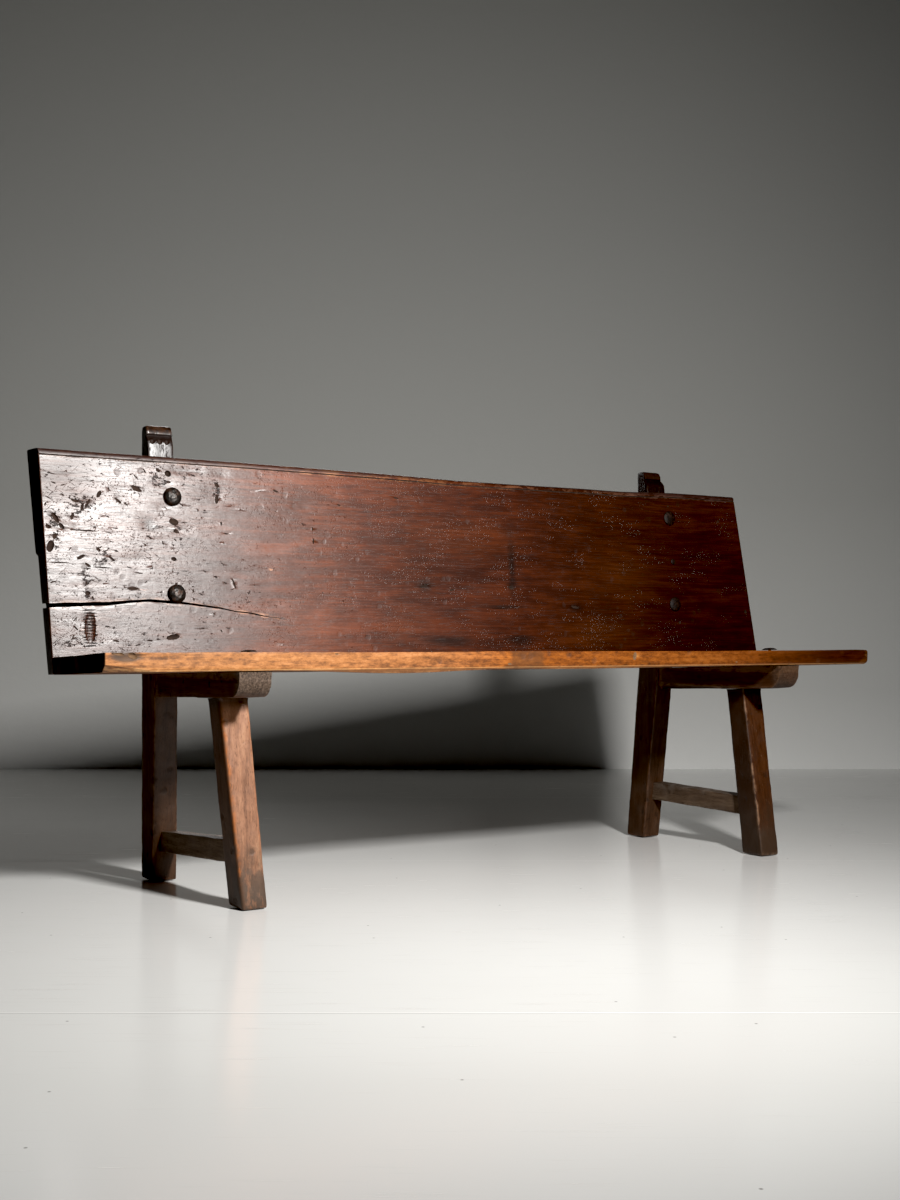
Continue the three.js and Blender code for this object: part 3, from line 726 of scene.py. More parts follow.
# Bearers: the bars under the seat, front to back, each with a rounded nose in front and a tenon that runs
# through the rear post. The tenon is spread by a wedge from behind, which the CAD model's own wedge stands for.
bearer_places = {"left": (-0.655, 0.002), "right": (0.613, 0.011)}
bearer_width, bearer_front = 0.063, -0.254851
nose_length, foremost, leg_span = 0.034, -0.2, (-0.2, -0.06)
tenon_end, tenon_end_eased, kerf_spread = 0.2265, 0.0024, 0.32
bearer_palette = [(0.2, 0.01, 0.0034, 0.0012), (0.5, 0.04, 0.014, 0.005), (0.8, 0.1, 0.04, 0.016)]
for number, (side, (left, arris)) in enumerate(bearer_places.items()):
    height = bearer_heights[side]
    rear = knee[0] - fit_gap
    top_front = bearer_top(bearer_front)
    bearer = block((left, bearer_front, top_front - height), (left + bearer_width, rear, top_front))
    shift(bearer, lambda at: at.y > 0, (0, 0, bearer_top(rear) - top_front))
    shift(bearer, lambda at: at.y > 0 and at.z < 0.4, (0, height * post_rake / knee[1], 0))

    under_nose = lambda vert: vert.co.y < foremost and vert.co.z < top_front - height / 2
    left_arris = lambda vert: vert.co.x < left + 0.01 and vert.co.z < 0.4
    for axis, on_arris, width, steps in ((0, under_nose, nose_length, 7),
                                         (1, left_arris, max(arris, 0.003), 1 if arris > 0.005 else 2)):
        shape(bearer, "edges", lambda edge: edge.calc_length() > 0.05 and all(map(on_arris, edge.verts))
              and axis_of([vert.co for vert in edge.verts]) == axis,
              bpy.ops.mesh.bevel, offset=width, segments=steps, affect="EDGES")
    slices(bearer, 1, np.linspace(bearer_front + 0.005, rear - 0.006, 76))
    slices(bearer, 2, np.linspace(top_front - height + 0.004, bearer_top(rear) - 0.003, 9))
    slices(bearer, 0, np.linspace(left + 0.005, left + bearer_width - 0.005, 10))
    under_seat = lambda at: at.z > bearer_top(at.y) - 2 * near
    over_leg = lambda at: at.z < bearer_top(at.y) - height + 2 * near and leg_span[0] < at.y < leg_span[1]
    roughen(bearer, 0.05, 0.002, lambda at: under_seat(at) or over_leg(at))
    post_knee = post_places[side][1]
    tenon_middle = post_knee[0] + post_knee[1] / 2
    tenon_start = rear - 0.004
    tenon = block((tenon_middle - tenon_half, tenon_start, bearer_top(tenon_start) - height + tenon_shoulder),
                  (tenon_middle + tenon_half, tenon_end, bearer_top(tenon_start) - tenon_shoulder))
    shift(tenon, lambda at: at.y > 0.2, (0, 0, -bearer_fall * (tenon_end - tenon_start)))
    shift(tenon, lambda at: at.y > 0.2 and at.z > 0.388, (0, -tenon_end_eased, 0))
    kerf_low, kerf_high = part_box(f"bearer_wedge_{side}")
    kerf = block((kerf_low.x - fit_gap, kerf_low.y - fit_gap, kerf_low.z - 0.01),
                 (kerf_high.x + fit_gap, kerf_high.y + 0.01, kerf_high.z + 0.01))
    stretch(kerf, lambda at: at.y < 0.21, (kerf_spread, 1, 1), (tenon_middle, 0.2, 0.39))
    cut_out(tenon, kerf, 0)
    alone(bearer, tenon)
    bpy.ops.object.join()
    wear(bearer, 0.0015)
    finish, wood = walnut(f"bearer_walnut_{side}", 1, bearer_palette, (0.085, 0.038, 0.016), shift=number * 6 + 4,
                          ring_width=0.011)
    nose = 1 - above(wood, "Y", bearer_front + 0.004, bearer_front + 0.03)
    speckled = figure(wood.place, (260, 40, 260), 4, 6)
    end_grain = ramp(speckled, [(0.35, 0.02, 0.012, 0.008), (0.5, 0.065, 0.042, 0.028), (0.72, 0.15, 0.105, 0.078)])
    tint(wood, nose * (0.95 if side == "left" else 0.4), end_grain)
    wood.height = wood.height + speckled * nose * 0.4
    oiled(wood, 0.015, 0.15, 0.3)
    hand_over(bearer, "trestle_wood", [finish], f"bearer_{side}")

wedge_palette = [(0.2, 0.06, 0.035, 0.02), (0.8, 0.22, 0.14, 0.085)]
wedge_finish, wood = walnut("wedge_wood", 2, wedge_palette, (0.3, 0.2, 0.12), shift=8)
oiled(wood, 0.3, 0.2)
for side in ("left", "right"):
    for kind in ("leg_wedge", "bearer_wedge"):
        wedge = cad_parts[f"{kind}_{side}"]
        wedge.data.materials.clear()
        wedge.data.materials.append(wedge_finish)
        bench_only.objects.link(wedge)

# Seat plank: one thick board that falls a little to the back, nailed down on the bearers. Its front edge is worn to
# bare wood, with a painted sheen that brightens it towards the left. Its left end is sawn out of square, chamfered
# under and painted dark as in shade, and its right end is rounded.
seat_left, seat_right, seat_skew = -0.896, 0.8895, 0.025
seat_top_z, seat_thickness = seat_line[1], 0.034
seat_rear_top, seat_rear_low = (0.10096, 0.44904), (0.09824, 0.4151)


def seat_top(y):
    return seat_top_z - bearer_fall * (y - seat_front)


def pull(piece, pulls):
    """Sculpts a piece: each pull moves what is near a place, less and less out to its reach."""
    places = places_of(piece.data)
    for place, reach, move in pulls:
        away = np.sqrt((((places - np.array(place)) / np.array(reach)) ** 2).sum(1))
        soft = np.clip(1 - away, 0, 1)
        places += (soft * soft * (3 - 2 * soft))[:, None] * np.array(move)
    put(piece, places)


seat = block((seat_left, seat_front, seat_top_z - seat_thickness), (seat_right, seat_rear_top[0], seat_top_z))
shift(seat, lambda at: at.y > 0 and at.z > 0.44, (0, 0, seat_rear_top[1] - seat_top_z))
shift(seat, lambda at: at.y > 0 and at.z < 0.44,
      (0, seat_rear_low[0] - seat_rear_top[0], seat_rear_low[1] - seat_top_z + seat_thickness))
shift(seat, lambda at: at.y > 0 and at.x < 0, (seat_skew, 0, 0))


def seat_round(place, axis):
    if axis == 2:
        return 0.009 if place.x > 0 and place.y < 0 else 0.002
    if axis == 0:
        return (0.0022 if place.z > 0.44 else 0.006) if place.y < 0 else 0.001
    return 0.0155 if place.x > 0 else 0.002


ease(seat, seat_round, steps=4)
rings(seat, {0: 370, 1: 76, 2: 8})
rested = lambda at: at.z < seat_top(at.y) - seat_thickness + 2 * near
roughen(seat, 0.16, 0.0022, rested)
roughen(seat, 0.02, 0.0006, rested)
pull(seat, [
    ((-0.33, seat_front, 0.424), (0.26, 0.1, 0.02), (0, 0, -0.0075)),
    ((0.1, seat_front, 0.424), (0.35, 0.1, 0.02), (0, 0, -0.003)),
    ((0.35, seat_front + 0.02, 0.462), (0.5, 0.09, 0.016), (0, 0, -0.0016)),
    ((-0.35, seat_front + 0.03, 0.462), (0.4, 0.12, 0.016), (0, 0, -0.0012)),
])


def shave(piece, point, normal):
    """Planes off what lies beyond a plane."""
    shape(piece, "verts", lambda vert: True, bpy.ops.mesh.bisect, plane_co=point, plane_no=normal,
          clear_outer=True, use_fill=True)


left_underside, underside_below = Vector((-0.1, -0.55, -0.83)).normalized(), 0.0205
shave(seat, Vector((seat_left, seat_front, seat_top_z - underside_below)), left_underside)


def on_edge(u, v):
    return seen(u, v, Vector((0, seat_front, seat_top_z)), Vector((0, -1, 0)))


edge_marks = [(on_edge(u, v), (wide, deep, tall), (0, turn, 0)) for u, v, wide, deep, tall, turn in (
    (133, 656, 0.009, 0.005, 0.0055, 0.4), (118, 654, 0.012, 0.003, 0.0028, 0.1),
    (635.5, 656, 0.0055, 0.003, 0.01, 0.2), (510, 664, 0.006, 0.002, 0.003, 0),
    (186, 655.5, 0.003, 0.0015, 0.0012, 0), (337, 654, 0.005, 0.002, 0.0018, 0.1),
    (737, 662, 0.007, 0.002, 0.0025, 0))]
gouges(seat, edge_marks)
rolling = random.Random(5)
seat_dings, seat_ding_count = [], 60
while len(seat_dings) < seat_ding_count:
    spot = Vector((rolling.uniform(-0.84, 0.86), rolling.uniform(-0.25, 0.08), 0))
    spot.z = seat_top(spot.y) + 0.0005
    if all((spot - other[0]).length > 0.03 for other in seat_dings):
        seat_dings.append((spot, (rolling.uniform(0.004, 0.011), rolling.uniform(0.0015, 0.004), 0.0018),
                           (0, 0, rolling.uniform(-0.7, 0.7))))
gouges(seat, seat_dings, sides=8)
wear(seat, 0.0012)
seat_torn = torn_wood("seat_torn", (0.03, 0.016, 0.009), (0.26, 0.15, 0.08))
seat_palette = [(0.18, 0.03, 0.01, 0.004), (0.5, 0.11, 0.042, 0.016), (0.85, 0.26, 0.115, 0.045)]
finish, wood = walnut("seat_walnut", 0, seat_palette, (0.5, 0.24, 0.085), shift=2.5, pith=(0.3, 0.42, -0.1),
                      ring_width=0.012, dings=0.6, holes=0.5)
front_edge = 1 - above(wood, "Y", seat_front + 0.0035, seat_front + 0.012)
to_right = above(wood, "X", -0.9, 0.9)
mottle = figure(wood.place, (60, 60, 150), 5, 3, rough=0.7)
bare = ramp(mottle * 0.75 + wood.band * 0.55 + wood.fibre * 0.3 - 0.3, [
    (0.28, 0.06, 0.018, 0.004), (0.42, 0.2, 0.06, 0.011), (0.55, 0.36, 0.115, 0.023), (0.75, 0.5, 0.19, 0.052)])
# Partly painted sheen: the bare front edge is multiplied brighter towards the left end, where the glare falls, and
# darker towards the right, where the old dark polish remains.
polish_and_painted_sheen = ramp(to_right + mottle * 0.08 - 0.04, [
    (0, 1.1, 1.4, 2.1), (0.3, 1, 1.15, 1.6), (0.42, 0.93, 0.86, 0.58), (0.5, 0.7, 0.6, 0.3), (0.62, 0.74, 0.64, 0.34),
    (0.8, 0.68, 0.6, 0.4), (0.9, 0.52, 0.42, 0.26), (0.985, 0.12, 0.07, 0.05)])
dashes = rise(figure(wood.place, (120, 120, 620), 3, 41, rough=0.7), 0.585, 0.66)
freckles = rise(figure(wood.place, 330, 2, 43), 0.6, 0.7)
bare = mixed(dashes * 0.4 + freckles * 0.2, bare, (0.05, 0.014, 0.004))
bare = mixed(wood.rubbed * 0.6, bare, (0.74, 0.36, 0.11))
bare = mixed(1, bare, polish_and_painted_sheen, "MULTIPLY")


def spot_on(wood, place, reach, ragged=0.5, hard=0.3):
    """A ragged spot on a piece: 1 at its place and 0 beyond its reach."""
    at = wood.place.node("Mapping", {
        "Vector": wood.place, "Scale": [1 / size for size in reach],
        "Location": [-centre / size for centre, size in zip(place, reach)]})
    away = at.node("VectorMath", {0: at}, out="Value", operation="LENGTH")
    return rise(away + (wood.band - 0.5) * ragged * 2, 1, hard)


patch = spot_on(wood, on_edge(528, 660), (0.044, 0.02, 0.04), 0.35, 0.75)
scar = spot_on(wood, on_edge(127, 657), (0.03, 0.02, 0.013), 0.35, 0.5)
bare = mixed(patch * (0.95 - mottle * 0.5), bare, (0.085, 0.032, 0.01))
bare = mixed(scar * 0.85, bare, (0.05, 0.03, 0.018))
lower_arris = 1 - above(wood, "Z", 0.4264, 0.4276)
pale_line = above(wood, "Z", 0.4268, 0.4276) - above(wood, "Z", 0.4284, 0.4294)
bare = mixed(lower_arris * (0.9 - mottle * 0.3), bare, (0.12, 0.05, 0.018))
bare = mixed(pale_line * wood.fibre * 0.6, bare, (0.75, 0.42, 0.17))
tint(wood, front_edge * (0.93 - wood.ding * 0.4), bare)
end_slope = seat_skew / (seat_rear_top[0] - seat_front)
# Painted shade: the sawn left end is tinted almost black, darker than its end grain alone, as the face turned away from
# the light.
sawn = 1 - rise(part_of(wood.place, "X") - part_of(wood.place, "Y") * end_slope, -0.8768, -0.8745)
tint(wood, sawn * 0.93, (0.007, 0.004, 0.003))
varnish(wood.colour, wood.rough + 0.04 + sawn * 0.5, wood.height * 0.8, level=0.34)
hand_over(seat, "seat_wood", [finish, seat_torn], "seat_plank")

# Back plank: one wide board that stands on the bearers behind the seat and leans on the posts. Waxed over and
# over, with a rounded top edge and a bead line under it. Its left third is beaten, bored and split.
back_low, back_high = 0.4151, 0.84
back_left, back_right, left_rake, right_rake = -0.871, 0.896, 0.022, 0.05
left_end_skew, chip_top, chip_depth, sag_from = 0.008, 0.641, 0.0042, 0.6
bead_below, bead_height, bead_depth = 0.0128, 0.0022, 0.0024
top_sag = [(-0.9, 0), (-0.5, 0.0005), (-0.3, 0.0025), (-0.1, 0.005), (0.03, 0.0078), (0.2, 0.0075),
           (0.4, 0.0065), (0.5, 0.0072), (0.65, 0.002), (0.9, 0.0018)]


def sag(x):
    return float(np.interp(x, *zip(*top_sag)))


board = block((back_left, back_front(back_low), back_low),
              (back_right, back_front(back_low) + back_thickness, back_high))
upper = lambda at: at.z > (back_low + back_high) / 2
low_middle, high_middle = (back_front(z) + back_thickness / 2 for z in (back_low, back_high))
shift(board, upper, (0, (back_high - back_low) * lean, 0))
shift(board, lambda at: upper(at) and at.x < 0, (-left_rake, 0, 0))
shift(board, lambda at: upper(at) and at.x > 0, (-right_rake, 0, 0))
shift(board, lambda at: upper(at) and at.x < 0 and at.y > high_middle, (-left_end_skew, 0, 0))
shift(board, lambda at: not upper(at) and at.y > low_middle, (0, 0, -bearer_fall * back_thickness))


def board_round(place, axis):
    if axis == 0 and upper(place):
        return 0.009 if place.y < high_middle else 0.004
    return 0.002 if axis == 0 else 0.003


ease(board, board_round, steps=4)
rings(board, {0: 350, 2: 104, 1: 8})
board_places = places_of(board.data)
high = np.clip((board_places[:, 2] - sag_from) / (back_high - sag_from), 0, 1) ** 2
board_places[:, 2] -= high * np.interp(board_places[:, 0], *zip(*top_sag))
behind = np.clip((board_places[:, 1] - back_front(board_places[:, 2])) / back_thickness, 0, 1)
chipped = (board_places[:, 0] < -0.84) & (board_places[:, 2] < chip_top)
board_places[:, 0] += chipped * behind * chip_depth
put(board, board_places)
backed = lambda at: at.y > back_front(at.z) + back_thickness - 0.001
roughen(board, 0.25, 0.0012, backed)
roughen(board, 0.035, 0.0004, backed)

board_face = Vector((0, seat_line[0], seat_line[1]))
board_normal = Vector((0, -1, lean)).normalized()


def on_board(u, v):
    return seen(u, v, board_face, board_normal)


def on_surface(piece, place):
    """Where a face really is at a place: worn back from the plane that it was sawn to."""
    found, hit, _, _ = piece.ray_cast(place - Vector((0, 0.05, 0)), Vector((0, 1, 0)))
    return hit if found else place


def channel(piece, stations):
    """Cuts a slot along a face. A station is a place on the face, the slot's height and its depth."""
    proud = 0.01
    (first, height, depth), rest = stations[0], stations[1:]
    cutter = block((first.x - 0.002, first.y - proud, first.z - height / 2),
                   (first.x, first.y + depth, first.z + height / 2))
    for place, new_height, new_depth in rest:
        old = Vector((first.x, first.y + (depth - proud) / 2, first.z))
        new = Vector((place.x, place.y + (new_depth - proud) / 2, place.z))
        shape(cutter, "faces", lambda face: face.normal.x > 0.3 and face.calc_center_median().x > old.x - 0.0005,
              bpy.ops.mesh.extrude_region_move, TRANSFORM_OT_translate={"value": new - old})
        stretch(cutter, lambda vert: vert.x > new.x - 0.0005,
                (1, (proud + new_depth) / (proud + depth), new_height / height), new)
        first, height, depth = place, new_height, new_depth
    alone(cutter)
    cut_out(piece, cutter)


channel(board, [(Vector((x, back_front(0.827), back_high - bead_below - sag(x) * 0.9)), bead_height, bead_depth)
                for x in np.linspace(-0.9, 0.86, 45)])
split = [(26, 606.5, 4.6, 62), (40, 606, 4.2, 62), (48, 605.5, 3.8, 60), (60, 605, 3.5, 34), (84, 604.3, 3.2, 30),
         (110, 603.6, 2.9, 26), (130, 601.6, 2.3, 24), (150, 600.4, 2.2, 24), (168, 601.9, 2.4, 22), (184, 603, 2, 20),
         (205, 606, 1.5, 16), (220, 608, 1.3, 14), (236, 611.5, 1, 12), (250, 613, 0.9, 10), (266, 616.4, 0.6, 8),
         (282, 618.5, 0.3, 5)]
pixel, mm = 0.00205, 0.001
channel(board, [(on_board(u, v), gap * pixel, depth * mm) for u, v, gap, depth in split])
pull(board, [(on_board(u, v), (wide * pixel, 0.02, tall * pixel), (0, depth * mm, 0)) for u, v, wide, tall, depth in (
    (152.7, 524, 9, 12, 3), (178, 470, 15, 8, 1.6), (162, 484, 7, 9, 2.4), (164, 506, 8, 7, 2),
    (120, 490, 18, 9, 1.4), (60, 525, 13, 12, 2.4), (85, 505, 15, 15, 1.8), (193, 470, 14, 7, 1.8),
    (222, 473, 5, 7, 2.2), (183, 530, 10, 9, 1.8), (275, 604, 7, 6, 2.2), (236, 590, 5, 6, 2.2),
    (301, 506, 12, 7, 1.2), (60, 470, 12, 8, 1.6), (135, 560, 20, 8, 1), (217, 492, 8, 14, 1.8),
    (260, 560, 26, 4, 0.9), (245, 572, 24, 4, 0.9), (275, 549, 26, 4, 0.9), (110, 630, 12, 16, 1.6))])
trough = [(on_surface(board, on_board(90.5, 627)), (0.0115, 0.004, 0.046), (0, 0, 0))]
gouges(board, trough, sides=24, ragged=0.0012, slot_number=0)
cuts = [(number % 3 - 1, 610 + number * 3) for number in range(13)]
gouges(board, [(on_board(90.2 + lean_to * 0.9, v), (0.0135, 0.0066, 0.0013), (0, 0.06 * lean_to, 0))
               for lean_to, v in cuts])
named_marks = [
    (168, 473.6, 3.6, 3.2, 6, 0.5), (158, 470, 2.6, 1.8, 2, 0.8), (169, 482, 2.4, 1.3, 1.6, 0.2),
    (174, 521.8, 5, 3.6, 3, 0.3), (184.5, 522.3, 3.6, 0.6, 1.5, 0), (176.5, 531.2, 3.2, 2.2, 1.4, 0.4),
    (174, 559, 3, 2.2, 4, 0.2), (173.4, 637, 7, 2.8, 3.5, -0.15), (136.3, 488.6, 6, 2.6, 2.6, 0.45),
    (48.5, 526.5, 3, 2, 5, 0), (99, 494, 2, 4, 2.2, 0.5), (118, 500.5, 5, 1.4, 1.6, 0.7),
    (126, 504, 2.6, 1, 1.2, 0.7), (75, 500.5, 4.6, 1.5, 2, 0.3), (82.5, 507, 1.6, 5, 2, 0.3),
    (72.5, 516, 1.6, 4, 1.6, 0.3), (88, 503, 1.2, 5, 1.4, 0.5), (55.6, 517.5, 2.2, 6, 4.5, -0.6),
    (62, 526, 2, 4, 3, -0.7), (50.5, 546, 3.6, 6, 4, 0.3), (55, 536, 2, 3.2, 2.5, 0.4), (84, 530.3, 14, 0.8, 2, 0.02),
    (59, 562.3, 9.5, 0.75, 2, 0), (102, 567.4, 9, 0.75, 2, 0.03), (81, 557, 4.5, 1.8, 2, -0.5),
    (88, 565, 3.5, 1.4, 2.2, 0.6), (98.4, 549.3, 2.8, 1.6, 1.8, 0.8), (112, 558.6, 4, 1.3, 1.8, 0.7),
    (116.4, 551, 2.2, 1, 1, 0.3), (87.7, 593, 2.8, 2.2, 2.5, 0), (93.2, 598.2, 1, 2.2, 1.8, -0.3),
    (86.6, 583, 1, 1.6, 1.2, 0), (133.4, 588.6, 6, 1.8, 1, 0.05), (139, 573, 4.5, 0.8, 1.2, 0.1),
    (185, 571, 4, 0.6, 1, 0), (217, 485.3, 2.6, 2, 2.4, 0.8), (217, 499, 2.2, 6, 2.6, 0.1),
    (221.4, 523.6, 1.2, 2, 1.4, 0), (234, 583, 1, 7, 1.6, -0.35), (275.7, 491, 3, 1.2, 1, 0.3),
    (216, 577, 2, 1, 1.2, 0.5), (225.5, 583, 1.8, 1, 1.2, 0.6), (193.5, 591, 1, 1.6, 1, 0),
    (194, 599.5, 1, 1.6, 1, 0), (312.5, 529, 0.7, 3, 1, 0), (313.5, 541, 0.9, 4, 1.2, 0),
    (136, 477, 3.4, 0.8, 1.2, 0.8), (511.3, 587.5, 3.4, 2.4, 1.6, 0.2), (500, 608.7, 14, 0.35, 1.4, 0),
    (575, 607, 6, 1.6, 1.4, 0.2), (680, 622.3, 2, 2, 1.6, 0), (744.5, 562.6, 2, 1.8, 2.2, 0),
    (745.5, 611.6, 2.2, 2.6, 2, 0), (92, 646, 7, 1.3, 3, 0.05), (424, 586, 6, 1.2, 1.2, -0.35),
    (650.5, 553.7, 1.2, 0.9, 0.8, 0), (632, 523.4, 9, 0.3, 0.8, -0.12), (668, 506.5, 1.6, 0.9, 1, 0.3),
    (700, 552.5, 3, 0.6, 0.7, 0), (718, 522, 2, 1, 0.8, 0.9), (396, 498, 3, 1, 1, 0.2),
    (339, 505, 2.2, 0.9, 0.9, 0.3), (452, 590, 3, 1.2, 0.9, -0.2), (117, 641, 2.6, 1.2, 1.4, 0.2),
    (203, 628.5, 2.2, 0.9, 1, 0.1), (150, 640.5, 3, 0.9, 1.2, 0.1),
]
marks = [(on_surface(board, on_board(u, v)), (half_width * pixel, depth * mm, half_height * pixel), (0, tilt, 0))
         for u, v, half_width, half_height, depth, tilt in named_marks]
broad = [mark for mark in marks if min(mark[1]) > 0.0024]
gouges(board, broad, sides=20, ragged=0.001)
gouges(board, [mark for mark in marks if mark not in broad], sides=16, ragged=0.0005)
small, small_count = [], 90
rolling = random.Random(11)
while len(small) < small_count:
    u, v = 44 + 240 * rolling.random() ** 1.3, rolling.uniform(468, 646)
    spot = on_board(u, v)
    size = 1 if u < 230 else 0.55
    long_half, short_half = rolling.uniform(0.002, 0.0065) * size, rolling.uniform(0.0009, 0.0018) * size
    clear = all((spot - other[0]).length > 0.014 for other in small) and all(
        (spot - other[0]).length > 0.01 + max(other[1][0], other[1][2]) for other in marks)
    if clear and abs(v - 605) > 9 and not (78 < u < 106 and v > 598):
        spot = on_surface(board, spot)
        small.append((spot, (long_half, rolling.uniform(0.0008, 0.0018) * size, short_half),
                      (0, rolling.uniform(-1.4, 1.4), 0)))
gouges(board, small, sides=8, ragged=0.0005)
wear(board, 0.0012)

board_torn = torn_wood("board_torn", (0.004, 0.002, 0.0015), (0.06, 0.036, 0.026), 0.7)
back_palette = [(0.18, 0.008, 0.0018, 0.0006), (0.45, 0.032, 0.0068, 0.0014), (0.68, 0.08, 0.018, 0.0036),
                (0.92, 0.17, 0.05, 0.011)]
finish, wood = walnut("back_walnut", 0, back_palette, (0.16, 0.075, 0.045), shift=6.5, pith=(0.3, 0.1, -0.52),
                      ring_width=0.01, holes=0.1, dings=0.5, streaks=0.15, blotches=0.42)


def board_spot(u, v, wide, tall, ragged=0.5, hard=0.2):
    return spot_on(wood, on_board(u, v), (wide, 0.05, tall), ragged, hard)


for spot in ((425, 586, 0.036, 0.02), (512, 586, 0.028, 0.018), (576, 607, 0.032, 0.016), (512, 565, 0.016, 0.1),
             (505, 607, 0.1, 0.007), (450, 641, 0.1, 0.018), (520, 640, 0.06, 0.02)):
    tint(wood, board_spot(*spot, 0.7, 0.1) * 0.85, (0.008, 0.003, 0.002))
for spot in ((625, 575, 0.16, 0.12), (470, 540, 0.2, 0.08), (600, 632, 0.2, 0.05)):
    tint(wood, board_spot(*spot, 0.9, -0.4) * (wood.fibre * 0.5 - 0.02), (0.16, 0.045, 0.01))
beaten = 1 - above(wood, "X", -0.75, 0.1)
tint(wood, beaten * 0.06, (0.1, 0.055, 0.042))
faded = ramp(part_of(wood.place, "X") * (1 / 1.8) + wood.drift * 0.1 + 0.45, [
    (0, 1, 1.1, 1.2), (0.18, 1.4, 1.4, 1.4), (0.26, 2.5, 2.4, 2.1), (0.33, 2.6, 2.4, 1.8), (0.38, 2, 1.7, 1.1),
    (0.44, 1.5, 1.3, 0.8), (0.51, 1.15, 0.95, 0.65), (0.6, 1.1, 0.95, 0.8), (0.7, 0.95, 0.95, 0.9), (0.8, 0.8, 0.85, 1),
    (1, 0.66, 0.7, 1)])
tint(wood, 1, faded, "MULTIPLY")
top_edge = above(wood, "Z", 0.8255, 0.8305)
tint(wood, top_edge * 0.8, (0.02, 0.005, 0.003))
fine = figure(wood.place, (60, 60, 150), 5, 13, rough=0.75)
flocks = rise(figure(wood.place, (9, 9, 20), 3, 17), 0.48, 0.6)
pecks = rise(cells(wood.place, 230), 0.3, 0.1) * flocks
far_left = 1 - above(wood, "X", -0.8, -0.42)
clusters = rise(figure(wood.place, 13, 2, 21) + far_left * 0.05, 0.5, 0.62) * beaten
torn = sum(board_spot(*spot) for spot in (
    (81, 505, 0.05, 0.03), (55, 530, 0.022, 0.06), (136, 488, 0.02, 0.012), (103, 555, 0.032, 0.026),
    (87, 583, 0.014, 0.05), (217, 492, 0.012, 0.04), (178, 530, 0.02, 0.022), (160, 480, 0.028, 0.03),
    (133, 589, 0.024, 0.008), (173, 637, 0.022, 0.01), (75, 645, 0.06, 0.008)))
jags = rise(figure(wood.place, (110, 110, 170), 5, 31, rough=0.75) + torn * 0.09, 0.61, 0.65)
jags = jags * rise(clusters + torn, 0, 0.7)
strokes = sum(
    rise(figure(wood.place.node("Mapping", {"Vector": wood.place, "Rotation": (0, turn, 0)}), (34, 90, 420), 2, seed),
         0.68, 0.71) for turn, seed in ((0.75, 33), (-0.5, 37)))
strokes = strokes * rise(figure(wood.place, 10, 2, 25), 0.48, 0.6) * far_left
tint(wood, jags * 0.85 + strokes * 0.6 + pecks * 0.25 * beaten, (0.008, 0.004, 0.003))
# Painted shade: the left end face is tinted almost black, darker than its end grain alone, as the face turned away from
# the light.
end_face_in_shade = 1 - rise(part_of(wood.place, "X") + part_of(wood.place, "Z") * (left_rake / (back_high - back_low) + 0.008)
                    - part_of(wood.place, "Y") * 0.1, -0.856, -0.854)
tint(wood, end_face_in_shade * 0.9, (0.005, 0.0025, 0.002))
coarse = figure(wood.place, (130, 40, 130), 2, 15)
height = wood.height * 0.5 + (fine * 0.32 + coarse * 0.15) * beaten - jags * 1.2 - strokes * 0.5 - pecks * 0.4
dulled = board_spot(56, 478, 0.13, 0.075, 0.5, 0)
rough = wood.rough * 0.66 + 0.035 + (jags + strokes + end_face_in_shade) * 0.3 + top_edge * 0.15 + dulled * 0.1
varnish(wood.colour, rough, height)
hand_over(board, "back_wood", [finish, board_torn], "back_plank")

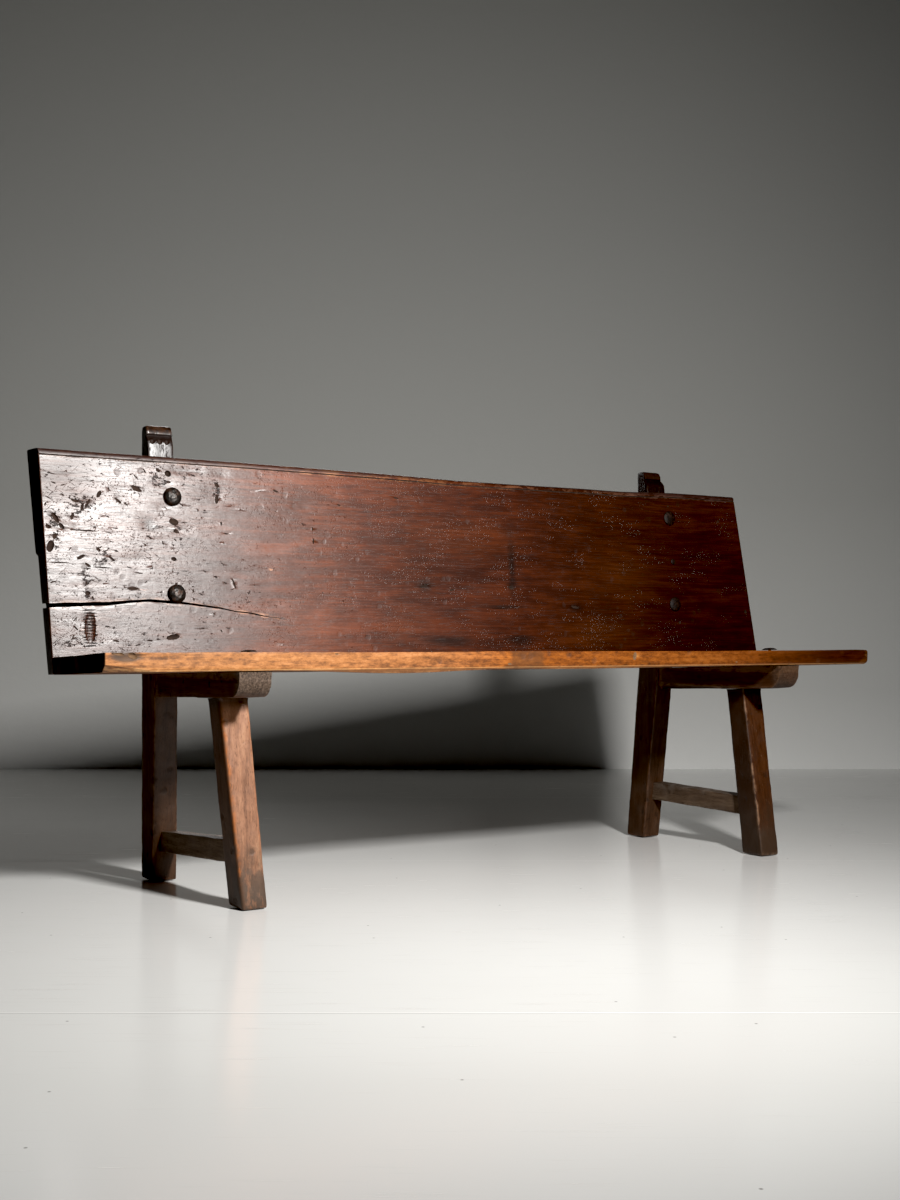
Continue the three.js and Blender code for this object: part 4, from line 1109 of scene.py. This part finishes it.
# Nails: forged iron, driven through the back plank into the posts and through the seat into the bearers.
# The heads are hammered domes. On the seat all but one are beaten nearly flat.
iron, place = new_finish("forged_iron")
scale_skin = figure(place, 220, 5)
rust = rise(figure(place, 90, 4, 3), 0.48, 0.66)
colour = mixed(rust * 0.7, (0.02, 0.017, 0.015), (0.06, 0.026, 0.013))
hammered = cells(place, 190)
varnish(colour, 0.34 + rust * 0.25 + scale_skin * 0.1, hammered * 0.9 + scale_skin * 0.4, metal=0.55)
dull_iron, place = new_finish("dull_iron")
colour = mixed(rise(figure(place, 160, 4, 3), 0.45, 0.65), (0.006, 0.003, 0.002), (0.024, 0.01, 0.006))
varnish(colour, figure(place, 220, 5) * 0.2 + 0.5, figure(place, 300, 3) * 0.6, level=0.2)
heads = {
    "back_nail_left_upper": (0.0192, 0.3), "back_nail_left_lower": (0.0192, 0.3),
    "back_nail_right_upper": (0.018, 0.16), "back_nail_right_lower": (0.018, 0.18),
    "back_nail_right_middle": (0.007, 0.12), "seat_nail_left_front": (0.015, 0.12),
    "seat_nail_left_rear": (0.015, 0.12), "seat_nail_right_front": (0.0175, 0.16),
    "seat_nail_right_rear": (0.015, 0.12),
}
for number, (name, (radius, dome)) in enumerate(heads.items()):
    in_back = name.startswith("back")
    length, shank = (0.08, 0.004) if in_back else (0.068, 0.0035)
    low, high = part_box(name)
    head_place = (low + high) / 2
    if in_back:
        outward = Vector((0, -math.cos(lean_angle), math.sin(lean_angle)))
        head_place.z = high.z - radius * (math.cos(lean_angle) if dome > 0.15 else 0.997)
        head_place.y = back_front(head_place.z) + outward.y * fit_gap
    else:
        outward = Vector((0, math.sin(math.atan(bearer_fall)), math.cos(math.atan(bearer_fall))))
        head_place.z = seat_top(head_place.y) + fit_gap
    alone()
    bpy.ops.mesh.primitive_ico_sphere_add(subdivisions=5, radius=radius)
    nail = bpy.context.object
    shave(nail, Vector(), Vector((0, 0, -1)))
    stretch(nail, lambda at: True, (1, 1, dome * 2), Vector())
    roughen(nail, 0.01, 0.0014 if dome > 0.15 else 0.0005)
    alone()
    bpy.ops.mesh.primitive_cone_add(vertices=12, radius1=0.001, radius2=shank, depth=length,
                                    location=(0, 0, -length / 2 + 0.0002))
    stem = bpy.context.object
    bpy.ops.object.transform_apply()
    alone(nail, stem)
    bpy.ops.object.join()
    turned = Vector((0, 0, 1)).rotation_difference(outward).to_matrix().to_4x4()
    nail.data.transform(Matrix.Translation(head_place) @ turned @ Matrix.Rotation(number * 1.3, 4, "Z"))
    hand_over(nail, "nail_iron", [dull_iron if "right" in name else iron], name)
